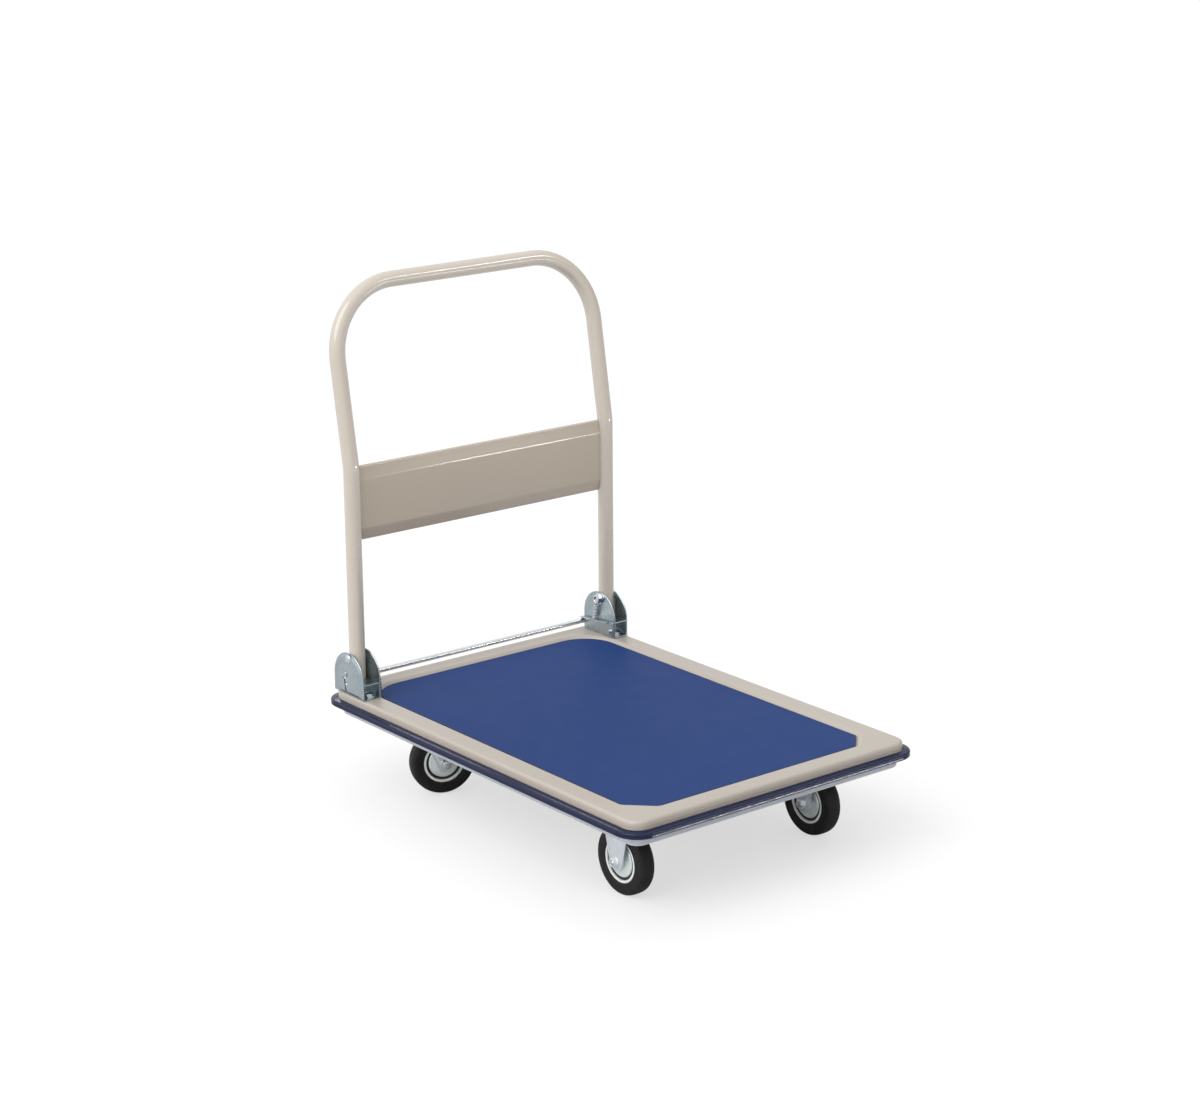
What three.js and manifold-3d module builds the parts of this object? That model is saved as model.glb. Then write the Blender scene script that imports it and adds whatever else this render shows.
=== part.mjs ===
// A folding platform cart: a pressed steel deck with a recessed mat and an edge trim, standing on
// two fixed casters in front and two swivel casters behind. The push handle pivots in two brackets
// at the rear and folds forward over the deck once the sprung release bar is pressed.
// Millimetres, +Z up, handle at +Y, +X to the right of a person who faces the handle's back (+Y).
// The origin is on the floor, below the middle of the deck.
import * as THREE from "three";
import { mergeVertices } from "three/addons/utils/BufferGeometryUtils.js";
import Module from "manifold-3d";

const wasm = await Module();
wasm.setup();

// ---- Driving dimensions ----

const GAP = 0.3; // clearance left between pieces that touch
const SHEET = 2; // steel sheet of the deck, its frame, the brackets and the arms
const SIDES = { left: -1, right: 1 };

// Deck: a shallow upside-down tray, its wall turned out into a flange that the trim grips.
const DECK = { halfWidth: 250.5, halfLength: 358.5, corner: 24, top: 155.5, wallBottom: 139.5, flange: 9 };
const RECESS_DEPTH = 5.5;
const RECESS_FLOOR = DECK.top - RECESS_DEPTH;
const RECESS_LIP = 8.4; // from the mat's edge to the deck's top, over the recess's sloping wall

// Mat: cut corners in front, round corners beside the brackets.
const MAT = { halfWidth: 211, front: -318.5, rear: 322, thickness: 2, cutCorner: 33, rearRadius: 55 };
const MAT_PLAY = 0.6; // between the mat's edge and the foot of the recess wall

// Edge trim: a plastic section pushed over the flange, measured outwards from the deck's wall.
const TRIM = { inner: 4, web: 9.4, outer: 11.5, bottom: 133.5, top: 143 };
const TRIM_SLOT = { bottom: DECK.wallBottom - GAP, top: DECK.wallBottom + SHEET + GAP };

// Frame under the deck: an angle section all round, two channels across it and a rib between them.
const FRAME = { inset: 7, lip: 20, bottom: 119 };
const CHANNEL = { y: 243, halfWidth: 47, bottom: 129, top: RECESS_FLOOR - SHEET - GAP };
const RIB_HALF_WIDTH = 20;

// Handle: a U of round tube. Its legs stand straight, then lean back above the panel.
const TUBE = { radius: 12, bore: 10, sides: 12, steps: 36 };
const LEG = { x: 236, y: 308.5, bottom: 177.3 };
const BEND = { z: 500, lean: THREE.MathUtils.degToRad(9.5), radius: 120 };
const GRIP = { z: 761, cornerRadius: 107 };
const PANEL = { bottom: 390, top: 501.5, front: 306, depth: 11, sheet: 1.5 };
const PANEL_BAND = { low: 17, high: 19.5, lean: 3.5 }; // bands leaning back along its two long edges
const PANEL_PLAY = 1.2; // between its ends and the legs, whose bend starts level with its top
const PLUG = { radius: 9.3, flangeRadius: 11.5, flange: 2, length: 15 };

// Brackets: two arched cheeks on a base, with a plate across the front that stops the leg.
const PIVOT = { y: LEG.y, z: 213 };
const CHEEK = { inner: 221.5, outer: 248.5, radius: 38.5, archZ: 186 };
const STOP = { bottom: 180, rear: LEG.y - TUBE.radius - GAP };
const SEAT_BOLT = { x: 234, y: 283, radius: 4, head: 6.5, headHeight: 5.3, bottom: 149 };

// Pivot bolt: a domed head outside the outer cheek, a nut inside the inner one.
const BOLT_RADIUS = 4;
const HOLE_PLAY = 0.3;
const HEX_ACROSS_FLATS = 13;
const NUT_HEIGHT = 6.5;
const PIVOT_HEAD = { radius: 8, height: 4.5 };
const BOLT_TAIL = 2; // thread showing past a nut

// Release: a round bar along the rear, on two arms that turn on pins in the inner cheeks.
const BAR = { y: 345, z: 169.2, radius: 4 };
const ARM = { front: 271.5, rear: 351, top: 176, frontBottom: 160, rearBottom: 164.6, ledge: 6 };
const ARM_PIN = { y: 277, z: 167, radius: 2.5, headRadius: 4, headHeight: 2 };
const FINGER = { front: 322, rear: 342, bottom: 169.8 };
const FINGER_SLOT = { front: 320, bottom: 160, top: 174.5 };
const SPRING = { x: 217.4, y: PIVOT.y, radius: 3, bottom: 176.4, top: 204.9 };

// Casters: the wheel and fork sizes are shared. Local frame: axle along X, trail towards +Y.
const CASTER = { x: 172, y: 243, trail: 33, parkedTurn: THREE.MathUtils.degToRad(-107.5) };
const WHEEL = { radius: 50, width: 25, seat: 33, hubRadius: 10, hubHalf: 14.5, boreRadius: 6.4 };
const RIM = { half: 11, lip: 28.6, groove: 28, disc: 24.3, discHalf: 9, grooveHalf: 6 };
const FORK = { inner: 16, sheet: 2.4, endRadius: 13, shoulder: 104 };
const SWIVEL_FORK = { top: 117, halfWidth: 23 };
const FIXED_FORK = { top: CHANNEL.bottom - GAP, halfWidth: 27 };
const PLATE = { halfX: 36, halfY: 46, thickness: 2.5, corner: 6 };
const RACE = { bottom: 117.4, top: 125.9, radius: 24, neck: 20, bore: 5.6 };
const KINGPIN = { radius: 5, headRadius: 9, headBottom: 109.8, headTop: 114.2, play: 0.5 };
const BUSH = { radius: 6, bore: 4.3 };
const WHEEL_SEGMENTS = 24;
const BOLT_SEGMENTS = 12;

// ---- Finishes ----

const look = (color, roughness, metalness) =>
  new THREE.MeshStandardMaterial({ color, roughness, metalness });
const PAINT = look(0xcdc5b8, 0.45, 0.1);
const PANEL_PAINT = look(0xa89e8f, 0.4, 0.1);
const MAT_BLUE = look(0x354f86, 0.75, 0);
const TRIM_BLUE = look(0x2f3660, 0.5, 0);
const ZINC = look(0xa9b2b5, 0.3, 0.9);
const FRAME_GREY = look(0xb9bec4, 0.5, 0.4);
const RUBBER = look(0x1e1c1c, 0.85, 0);
const WHEEL_WHITE = look(0xd8d8d6, 0.5, 0);
const PLUG_BLACK = look(0x222222, 0.7, 0);

// ---- Solids: joining, cutting and the usual forms ----

function solid(geometry) {
  const bare = geometry.clone();
  bare.deleteAttribute("normal");
  bare.deleteAttribute("uv");
  const merged = mergeVertices(bare, 1e-4);
  const vertProperties = merged.attributes.position.array;
  const triVerts = new Uint32Array(merged.index.array);
  return new wasm.Manifold(new wasm.Mesh({ numProp: 3, vertProperties, triVerts }));
}

function geometryOf(manifold) {
  const { vertProperties, triVerts } = manifold.getMesh();
  const geometry = new THREE.BufferGeometry();
  geometry.setAttribute("position", new THREE.BufferAttribute(vertProperties, 3));
  geometry.setIndex(new THREE.BufferAttribute(triVerts, 1));
  geometry.computeVertexNormals();
  return geometry;
}

function join(...pieces) {
  return geometryOf(pieces.map(solid).reduce((whole, piece) => whole.add(piece)));
}

function cut(piece, ...tools) {
  return geometryOf(tools.map(solid).reduce((rest, tool) => rest.subtract(tool), solid(piece)));
}

function box(x0, x1, y0, y1, z0, z1) {
  const form = new THREE.BoxGeometry(Math.abs(x1 - x0), Math.abs(y1 - y0), Math.abs(z1 - z0));
  return form.translate((x0 + x1) / 2, (y0 + y1) / 2, (z0 + z1) / 2);
}

// An outline in X and Y, raised from z0 to z1.
function plate(outline, z0, z1, curveSegments = 4) {
  const form = new THREE.ExtrudeGeometry(outline, { depth: z1 - z0, bevelEnabled: false, curveSegments });
  return form.translate(0, 0, z0);
}

// Sloping sides from an outline at z0 to its own offset at z1.
function frustum(lower, z0, upper, z1, curveSegments = 4) {
  const foot = lower.getPoints(curveSegments);
  const head = upper.getPoints(curveSegments);
  const count = foot.length;
  const positions = [
    ...foot.flatMap((point) => [point.x, point.y, z0]),
    ...head.flatMap((point) => [point.x, point.y, z1]),
  ];
  const index = THREE.ShapeUtils.triangulateShape(foot, []).flatMap(([a, b, c]) => [
    ...[c, b, a],
    ...[a + count, b + count, c + count],
  ]);
  for (let i = 0; i < count; i++) {
    const next = (i + 1) % count;
    index.push(i, next, next + count, i, next + count, i + count);
  }
  const form = new THREE.BufferGeometry();
  form.setAttribute("position", new THREE.Float32BufferAttribute(positions, 3));
  form.setIndex(index);
  return form;
}

function ring(outer, inner, z0, z1) {
  outer.holes.push(inner);
  return plate(outer, z0, z1);
}

// An outline in Y and Z, carried along X from x0 to x1, in either order.
function slab(outline, x0, x1, curveSegments = 10) {
  const across = new THREE.Matrix4().makeBasis(
    new THREE.Vector3(0, 1, 0),
    new THREE.Vector3(0, 0, 1),
    new THREE.Vector3(1, 0, 0),
  );
  return plate(outline, 0, Math.abs(x1 - x0), curveSegments)
    .applyMatrix4(across)
    .translate(Math.min(x0, x1), 0, 0);
}

// A round bar along X, and with six segments a hexagon.
function rod(radius, x0, x1, y, z, segments = BOLT_SEGMENTS) {
  const form = new THREE.CylinderGeometry(radius, radius, Math.abs(x1 - x0), segments);
  return form.rotateZ(Math.PI / 2).translate((x0 + x1) / 2, y, z);
}

function post(radius, x, y, z0, z1, segments = BOLT_SEGMENTS) {
  const form = new THREE.CylinderGeometry(radius, radius, z1 - z0, segments);
  return form.rotateX(Math.PI / 2).translate(x, y, (z0 + z1) / 2);
}

function hexAcross(x0, x1, y, z) {
  return rod(HEX_ACROSS_FLATS / Math.sqrt(3), x0, x1, y, z, 6);
}

// A profile of [radius, height] pairs, turned about the upright axis.
function turned(profile, segments) {
  const points = profile.map(([radius, height]) => new THREE.Vector2(radius, height));
  return new THREE.LatheGeometry(points, segments).rotateX(Math.PI / 2);
}

// The same, turned about the X axis through (0, y, z), with a corner of the form straight below.
function turnedAcross(profile, segments, y, z) {
  const points = profile.map(([radius, along]) => new THREE.Vector2(radius, along));
  return new THREE.LatheGeometry(points, segments).rotateZ(-Math.PI / 2).translate(0, y, z);
}

function polygon(points) {
  return new THREE.Shape(points.map(([a, b]) => new THREE.Vector2(a, b)));
}

function roundedOutline(halfX, halfY, radius) {
  const outline = new THREE.Shape();
  outline.absarc(halfX - radius, radius - halfY, radius, -Math.PI / 2, 0);
  outline.absarc(halfX - radius, halfY - radius, radius, 0, Math.PI / 2);
  outline.absarc(radius - halfX, halfY - radius, radius, Math.PI / 2, Math.PI);
  outline.absarc(radius - halfX, radius - halfY, radius, Math.PI, 1.5 * Math.PI);
  outline.closePath();
  return outline;
}

function add(parent, name, geometry, finish) {
  const mesh = new THREE.Mesh(geometry, finish);
  mesh.name = name;
  parent.add(mesh);
}

const cart = new THREE.Group();

// ---- Deck ----

// The deck's outline, moved outwards by grow.
function deckOutline(grow) {
  const corner = Math.max(DECK.corner + grow, 3);
  return roundedOutline(DECK.halfWidth + grow, DECK.halfLength + grow, corner);
}

// The mat's outline, moved outwards by grow.
function matOutline(grow) {
  const half = MAT.halfWidth + grow;
  const front = MAT.front - grow;
  const rear = MAT.rear + grow;
  const cutCorner = MAT.cutCorner + grow * (2 - Math.SQRT2);
  const radius = MAT.rearRadius + grow;
  const outline = new THREE.Shape();
  outline.moveTo(cutCorner - half, front);
  outline.lineTo(half - cutCorner, front);
  outline.lineTo(half, front + cutCorner);
  outline.absarc(half - radius, rear - radius, radius, 0, Math.PI / 2);
  outline.absarc(radius - half, rear - radius, radius, Math.PI / 2, Math.PI);
  outline.lineTo(-half, front + cutCorner);
  outline.closePath();
  return outline;
}

function deckTray() {
  const wall = ring(deckOutline(0), deckOutline(-SHEET), DECK.wallBottom, DECK.top);
  const flangeTop = DECK.wallBottom + SHEET;
  const flange = ring(deckOutline(DECK.flange), deckOutline(-SHEET), DECK.wallBottom, flangeTop);
  const rim = ring(deckOutline(0), matOutline(RECESS_LIP), DECK.top - SHEET, DECK.top);
  const run = RECESS_LIP - MAT_PLAY;
  const wallAcross = SHEET / Math.sin(Math.atan2(RECESS_DEPTH, run)); // the sloping sheet, measured level
  const footGrow = MAT_PLAY + wallAcross - (SHEET * run) / RECESS_DEPTH;
  const headGrow = RECESS_LIP + wallAcross;
  const basin = frustum(matOutline(footGrow), RECESS_FLOOR - SHEET, matOutline(headGrow), DECK.top);
  const recess = frustum(matOutline(MAT_PLAY), RECESS_FLOOR, matOutline(RECESS_LIP), DECK.top);
  const boltHoles = Object.values(SIDES).map((side) =>
    post(SEAT_BOLT.radius + HOLE_PLAY, side * SEAT_BOLT.x, SEAT_BOLT.y, DECK.top - 5, DECK.top + 5),
  );
  return cut(join(wall, flange, rim, basin), recess, ...boltHoles);
}

function edgeTrim() {
  const lower = ring(deckOutline(TRIM.outer), deckOutline(TRIM.inner), TRIM.bottom, TRIM_SLOT.bottom);
  const web = ring(deckOutline(TRIM.outer), deckOutline(TRIM.web), TRIM_SLOT.bottom, TRIM_SLOT.top);
  const upper = ring(deckOutline(TRIM.outer), deckOutline(TRIM.inner), TRIM_SLOT.top, TRIM.top);
  return join(lower, web, upper);
}

function underFrame() {
  const face = -FRAME.inset;
  const legTop = DECK.top - SHEET - GAP;
  const leg = ring(deckOutline(face), deckOutline(face - SHEET), FRAME.bottom, legTop);
  const lipTop = FRAME.bottom + SHEET;
  const lip = ring(deckOutline(face), deckOutline(face - FRAME.lip), FRAME.bottom, lipTop);
  return join(leg, lip);
}

// A channel section, open upwards, between two heights.
function channelOutline(halfWidth) {
  const inside = halfWidth - SHEET;
  const floor = CHANNEL.bottom + SHEET;
  return polygon([
    [-halfWidth, CHANNEL.bottom],
    [halfWidth, CHANNEL.bottom],
    [halfWidth, CHANNEL.top],
    [inside, CHANNEL.top],
    [inside, floor],
    [-inside, floor],
    [-inside, CHANNEL.top],
    [-halfWidth, CHANNEL.top],
  ]);
}

function addDeck() {
  add(cart, "deck_tray", deckTray(), PAINT);
  add(cart, "mat", plate(matOutline(0), RECESS_FLOOR + GAP, RECESS_FLOOR + GAP + MAT.thickness), MAT_BLUE);
  add(cart, "edge_trim", edgeTrim(), TRIM_BLUE);
  add(cart, "under_frame", underFrame(), FRAME_GREY);
  const reach = DECK.halfWidth - FRAME.inset - SHEET - GAP;
  for (const [place, side] of Object.entries({ front: -1, rear: 1 })) {
    const channel = slab(channelOutline(CHANNEL.halfWidth), -reach, reach);
    add(cart, "cross_channel_" + place, channel.translate(0, side * CHANNEL.y, 0), FRAME_GREY);
  }
  const ribReach = CHANNEL.y - CHANNEL.halfWidth - GAP;
  const rib = slab(channelOutline(RIB_HALF_WIDTH), -ribReach, ribReach).rotateZ(Math.PI / 2);
  add(cart, "centre_rib", rib, FRAME_GREY);
}

// ---- Brackets and pivots ----

function archOutline() {
  const foot = DECK.top + GAP;
  const outline = new THREE.Shape();
  outline.moveTo(LEG.y - CHEEK.radius, foot);
  outline.lineTo(LEG.y + CHEEK.radius, foot);
  outline.absarc(LEG.y, CHEEK.archZ, CHEEK.radius, 0, Math.PI);
  outline.closePath();
  return outline;
}

function bracket(side) {
  const foot = DECK.top + GAP;
  const front = LEG.y - CHEEK.radius;
  const rear = LEG.y + CHEEK.radius;
  const inner = side * CHEEK.inner;
  const outer = side * (CHEEK.outer + SHEET);
  const innerCheek = slab(archOutline(), inner, inner + side * SHEET);
  const outerCheek = slab(archOutline(), outer - side * SHEET, outer);
  const base = box(inner, outer, front, rear, foot, foot + SHEET);
  const stop = box(inner, outer, front, STOP.rear, STOP.bottom, STOP.bottom + SHEET);
  const far = side * (CHEEK.outer + 10);
  const near = side * (CHEEK.inner - 10);
  const betweenCheeks = side * (CHEEK.inner + SHEET + 1);
  const slot = FINGER_SLOT;
  return cut(
    join(innerCheek, outerCheek, base, stop),
    rod(BOLT_RADIUS + HOLE_PLAY, near, far, PIVOT.y, PIVOT.z),
    rod(ARM_PIN.radius + HOLE_PLAY, near, betweenCheeks, ARM_PIN.y, ARM_PIN.z),
    box(near, betweenCheeks, slot.front, rear + 1, slot.bottom, slot.top),
    post(SEAT_BOLT.radius + HOLE_PLAY, side * SEAT_BOLT.x, SEAT_BOLT.y, foot - 1, foot + 5),
  );
}

function seatBolt(side) {
  const seat = DECK.top + GAP + SHEET + GAP;
  const x = side * SEAT_BOLT.x;
  const head = post(SEAT_BOLT.head, x, SEAT_BOLT.y, seat, seat + SEAT_BOLT.headHeight);
  const shank = post(SEAT_BOLT.radius, x, SEAT_BOLT.y, SEAT_BOLT.bottom, seat + 1);
  return join(head, shank);
}

function pivotBolt(side) {
  const seat = CHEEK.outer + SHEET + GAP;
  const { radius, height } = PIVOT_HEAD;
  const dome = turned(
    [
      [0, -1],
      [radius, -1],
      [radius, 1],
      [radius * 0.7, height * 0.8],
      [0, height],
    ],
    BOLT_SEGMENTS,
  );
  dome.rotateY((side * Math.PI) / 2).translate(side * (seat + 1), PIVOT.y, PIVOT.z);
  const tail = side * (CHEEK.inner - GAP - NUT_HEIGHT - BOLT_TAIL);
  return join(dome, rod(BOLT_RADIUS, tail, side * (seat + 1), PIVOT.y, PIVOT.z));
}

function hexNut(x0, x1, y, z) {
  return cut(hexAcross(x0, x1, y, z), rod(BOLT_RADIUS + 0.15, x0 - 1, x1 + 1, y, z));
}

function addBrackets() {
  for (const [name, side] of Object.entries(SIDES)) {
    add(cart, "bracket_" + name, bracket(side), ZINC);
    add(cart, "bracket_bolt_" + name, seatBolt(side), ZINC);
    add(cart, "pivot_bolt_" + name, pivotBolt(side), ZINC);
    const face = side * (CHEEK.inner - GAP);
    const ends = [face, face - side * NUT_HEIGHT].sort((a, b) => a - b);
    add(cart, "pivot_nut_" + name, hexNut(...ends, PIVOT.y, PIVOT.z), ZINC);
  }
}

// ---- Handle ----

// A circular arc in space: centre + radius (cos a * u + sin a * v), for a from 0 to angle.
class Arc extends THREE.Curve {
  constructor(centre, u, v, radius, angle) {
    super();
    Object.assign(this, { centre, u, v, radius, angle });
  }
  getPoint(t, target = new THREE.Vector3()) {
    const a = t * this.angle;
    return target
      .copy(this.centre)
      .addScaledVector(this.u, this.radius * Math.cos(a))
      .addScaledVector(this.v, this.radius * Math.sin(a));
  }
}

// The centre line of one half of the handle, from the foot of a leg to the middle of the grip.
function handleHalf(side) {
  const sideways = new THREE.Vector3(side, 0, 0);
  const back = new THREE.Vector3(0, 1, 0);
  const up = new THREE.Vector3(0, 0, 1);
  const lean = up.clone().applyAxisAngle(new THREE.Vector3(1, 0, 0), -BEND.lean);
  const at = (z) => new THREE.Vector3(side * LEG.x, LEG.y, z);
  const bendStart = at(BEND.z - BEND.radius * Math.tan(BEND.lean / 2));
  const bendCentre = bendStart.clone().addScaledVector(back, BEND.radius);
  const bend = new Arc(bendCentre, back.clone().negate(), up, BEND.radius, BEND.lean);
  const bendEnd = bend.getPoint(1);
  const rise = (GRIP.z - bendEnd.z) / Math.cos(BEND.lean) - GRIP.cornerRadius;
  const cornerStart = bendEnd.clone().addScaledVector(lean, rise);
  const cornerCentre = cornerStart.clone().addScaledVector(sideways, -GRIP.cornerRadius);
  const corner = new Arc(cornerCentre, sideways, lean, GRIP.cornerRadius, Math.PI / 2);
  const cornerEnd = corner.getPoint(1);
  const middle = cornerEnd.clone().setX(0);
  return [
    new THREE.LineCurve3(at(LEG.bottom), bendStart),
    bend,
    new THREE.LineCurve3(bendEnd, cornerStart),
    corner,
    new THREE.LineCurve3(cornerEnd, middle),
  ];
}

// The same curve, walked from its end to its start.
class Reversed extends THREE.Curve {
  constructor(curve) {
    super();
    this.curve = curve;
  }
  getPoint(t, target = new THREE.Vector3()) {
    return target.copy(this.curve.getPoint(1 - t));
  }
}

function handleTube() {
  const path = new THREE.CurvePath();
  handleHalf(-1).forEach((curve) => path.add(curve));
  handleHalf(1)
    .reverse()
    .forEach((curve) => path.add(new Reversed(curve)));
  const section = new THREE.Shape();
  section.absarc(0, 0, TUBE.radius, 0, 2 * Math.PI);
  const bore = new THREE.Path();
  bore.absarc(0, 0, TUBE.bore, 0, 2 * Math.PI);
  section.holes.push(bore);
  const options = { steps: TUBE.steps, extrudePath: path, curveSegments: TUBE.sides / 2 };
  const tube = new THREE.ExtrudeGeometry(section, options);
  const holes = Object.values(SIDES).map((side) =>
    rod(BOLT_RADIUS + HOLE_PLAY, side * (LEG.x - 20), side * (LEG.x + 20), PIVOT.y, PIVOT.z),
  );
  return cut(tube, ...holes);
}

// A sheet with its top and bottom edges turned back, its ends shaped to the legs.
function handlePanel() {
  const { bottom, top, front, depth, sheet } = PANEL;
  const { low, high, lean } = PANEL_BAND;
  const rear = front + depth;
  const section = polygon([
    [front + lean, bottom],
    [rear, bottom],
    [rear, bottom + sheet],
    [front + lean + sheet, bottom + sheet],
    [front + sheet, bottom + low],
    [front + sheet, top - high],
    [front + lean + sheet, top - sheet],
    [rear, top - sheet],
    [rear, top],
    [front + lean, top],
    [front, top - high],
    [front, bottom + low],
  ]);
  const legs = Object.values(SIDES).map((side) =>
    post(TUBE.radius + PANEL_PLAY, side * LEG.x, LEG.y, bottom - 5, top + 5, 24),
  );
  const reach = LEG.x - TUBE.radius / 2;
  return cut(slab(section, -reach, reach), ...legs);
}

function legPlug(side) {
  const x = side * LEG.x;
  const flangeTop = LEG.bottom - GAP;
  const flange = post(PLUG.flangeRadius, x, LEG.y, flangeTop - PLUG.flange, flangeTop);
  const body = post(PLUG.radius, x, LEG.y, flangeTop - 1, flangeTop + PLUG.length);
  return join(flange, body);
}

function addHandle() {
  add(cart, "handle_tube", handleTube(), PAINT);
  add(cart, "handle_panel", handlePanel(), PANEL_PAINT);
  for (const [name, side] of Object.entries(SIDES)) {
    add(cart, "leg_plug_" + name, legPlug(side), PLUG_BLACK);
  }
}

// ---- Release bar ----

// A side plate against the inner cheek, with a ledge for the spring and a finger behind the leg.
function releaseArm(side) {
  const face = side * (CHEEK.inner - GAP);
  const back = face - side * SHEET;
  const web = slab(
    polygon([
      [ARM.front, ARM.frontBottom],
      [ARM.rear, ARM.rearBottom],
      [ARM.rear, ARM.top],
      [ARM.front, ARM.top],
    ]),
    back,
    face,
  );
  const ledge = box(back - side * ARM.ledge, face, ARM.front + 14, ARM.rear - 2, ARM.top - SHEET, ARM.top);
  const fingerEnd = side * (CHEEK.outer - 2);
  const fingerTop = FINGER.bottom + SHEET;
  const finger = box(back, fingerEnd, FINGER.front, FINGER.rear, FINGER.bottom, fingerTop);
  const pinHole = rod(ARM_PIN.radius + HOLE_PLAY, back - side, face + side, ARM_PIN.y, ARM_PIN.z);
  return cut(join(web, ledge, finger), pinHole);
}

function releasePin(side) {
  const { y, z, radius, headRadius, headHeight } = ARM_PIN;
  const seat = side * (CHEEK.inner - GAP - SHEET - GAP);
  const head = rod(headRadius, seat - side * headHeight, seat, y, z);
  const shank = rod(radius, seat - side, side * (CHEEK.inner + SHEET + 1), y, z);
  return join(head, shank);
}

function addRelease() {
  const reach = CHEEK.inner - 2 * GAP - SHEET;
  add(cart, "release_bar", rod(BAR.radius, -reach, reach, BAR.y, BAR.z), ZINC);
  for (const [name, side] of Object.entries(SIDES)) {
    add(cart, "release_arm_" + name, releaseArm(side), ZINC);
    add(cart, "release_pin_" + name, releasePin(side), ZINC);
    const coil = post(SPRING.radius, side * SPRING.x, SPRING.y, SPRING.bottom, SPRING.top, 12);
    add(cart, "release_spring_" + name, coil, ZINC);
  }
}

// ---- Casters ----

// The angle, seen from centre, at which a line from point touches a circle. turn is 1 or -1.
function tangentAngle(point, centre, radius, turn) {
  const dy = point[0] - centre[0];
  const dz = point[1] - centre[1];
  return Math.atan2(dz, dy) + turn * Math.acos(radius / Math.hypot(dy, dz));
}

// One side of a fork in Y and Z: wide at the top, rounded about the axle below.
function forkSide(top, halfWidth, trail) {
  const axle = [trail, WHEEL.radius];
  const front = [-halfWidth, FORK.shoulder];
  const rear = [halfWidth, FORK.shoulder];
  const start = tangentAngle(front, axle, FORK.endRadius, 1);
  const end = tangentAngle(rear, axle, FORK.endRadius, -1) + 2 * Math.PI;
  const outline = new THREE.Shape();
  outline.moveTo(-halfWidth, top);
  outline.lineTo(...front);
  outline.absarc(...axle, FORK.endRadius, start, end);
  outline.lineTo(...rear);
  outline.lineTo(halfWidth, top);
  outline.closePath();
  return outline;
}

// Two sides hanging from a crown or mounting plate.
function fork(top, halfWidth, trail, crown, ...cuts) {
  const outer = FORK.inner + FORK.sheet;
  const sides = Object.values(SIDES).map((side) =>
    slab(forkSide(top, halfWidth, trail), side * FORK.inner, side * outer),
  );
  const axleHole = rod(BOLT_RADIUS + HOLE_PLAY, -outer - 1, outer + 1, trail, WHEEL.radius);
  return cut(join(crown, ...sides), axleHole, ...cuts);
}

function swivelFork() {
  const { top, halfWidth } = SWIVEL_FORK;
  const outer = FORK.inner + FORK.sheet;
  const crown = box(-outer, outer, -halfWidth, halfWidth, top - FORK.sheet, top);
  const pinHole = post(KINGPIN.radius + KINGPIN.play, 0, 0, top - 5, top + 5);
  return fork(top, halfWidth, CASTER.trail, crown, pinHole);
}

function fixedFork() {
  const { top, halfWidth } = FIXED_FORK;
  const crown = plate(roundedOutline(PLATE.halfX, PLATE.halfY, PLATE.corner), top - FORK.sheet, top, 4);
  return fork(top, halfWidth, 0, crown);
}

function tyre(trail) {
  const half = WHEEL.width / 2;
  const seat = WHEEL.seat + GAP;
  const { radius } = WHEEL;
  const outward = [
    [seat, half - 2],
    [seat + 3, half],
    [radius - 6, half],
    [radius - 1.6, half - 3],
    [radius, half - 8],
  ];
  const inward = outward.map(([r, along]) => [r, -along]);
  const profile = [...inward, ...[...outward].reverse(), inward[0]];
  return turnedAcross(profile, WHEEL_SEGMENTS, trail, radius);
}

function rim(trail) {
  const half = [
    [WHEEL.boreRadius, WHEEL.hubHalf],
    [WHEEL.hubRadius, WHEEL.hubHalf],
    [WHEEL.hubRadius, RIM.discHalf],
    [RIM.disc, RIM.discHalf],
    [RIM.disc + 0.7, RIM.grooveHalf],
    [RIM.groove, RIM.grooveHalf],
    [RIM.lip, RIM.half],
    [WHEEL.seat, RIM.half],
  ];
  const below = half.map(([r, along]) => [r, -along]);
  const profile = [...below, ...[...half].reverse(), below[0]];
  return turnedAcross(profile, WHEEL_SEGMENTS, trail, WHEEL.radius);
}

function bush(trail) {
  const end = FORK.inner - GAP;
  const { radius, bore } = BUSH;
  const profile = [
    [bore, -end],
    [radius, -end],
    [radius, end],
    [bore, end],
    [bore, -end],
  ];
  return turnedAcross(profile, BOLT_SEGMENTS, trail, WHEEL.radius);
}

function axleBolt(trail) {
  const seat = FORK.inner + FORK.sheet + GAP;
  const tail = -(seat + NUT_HEIGHT + BOLT_TAIL);
  const head = hexAcross(seat, seat + 5.3, trail, WHEEL.radius);
  return join(head, rod(BOLT_RADIUS, tail, seat + 1, trail, WHEEL.radius));
}

function axleNut(trail) {
  const seat = FORK.inner + FORK.sheet + GAP;
  return hexNut(-(seat + NUT_HEIGHT), -seat, trail, WHEEL.radius);
}

// The wheel, its axle and the bush it turns on, which every caster has.
function addWheel(parent, place, trail) {
  add(parent, "tyre_" + place, tyre(trail), RUBBER);
  add(parent, "rim_" + place, rim(trail), WHEEL_WHITE);
  add(parent, "axle_bush_" + place, bush(trail), ZINC);
  add(parent, "axle_bolt_" + place, axleBolt(trail), ZINC);
  add(parent, "axle_nut_" + place, axleNut(trail), ZINC);
}

function addFixedCaster(name, side) {
  const caster = new THREE.Group();
  caster.position.set(side * CASTER.x, -CASTER.y, 0);
  const place = "front_" + name;
  add(caster, "fork_" + place, fixedFork(), ZINC);
  addWheel(caster, place, 0);
  cart.add(caster);
}

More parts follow.
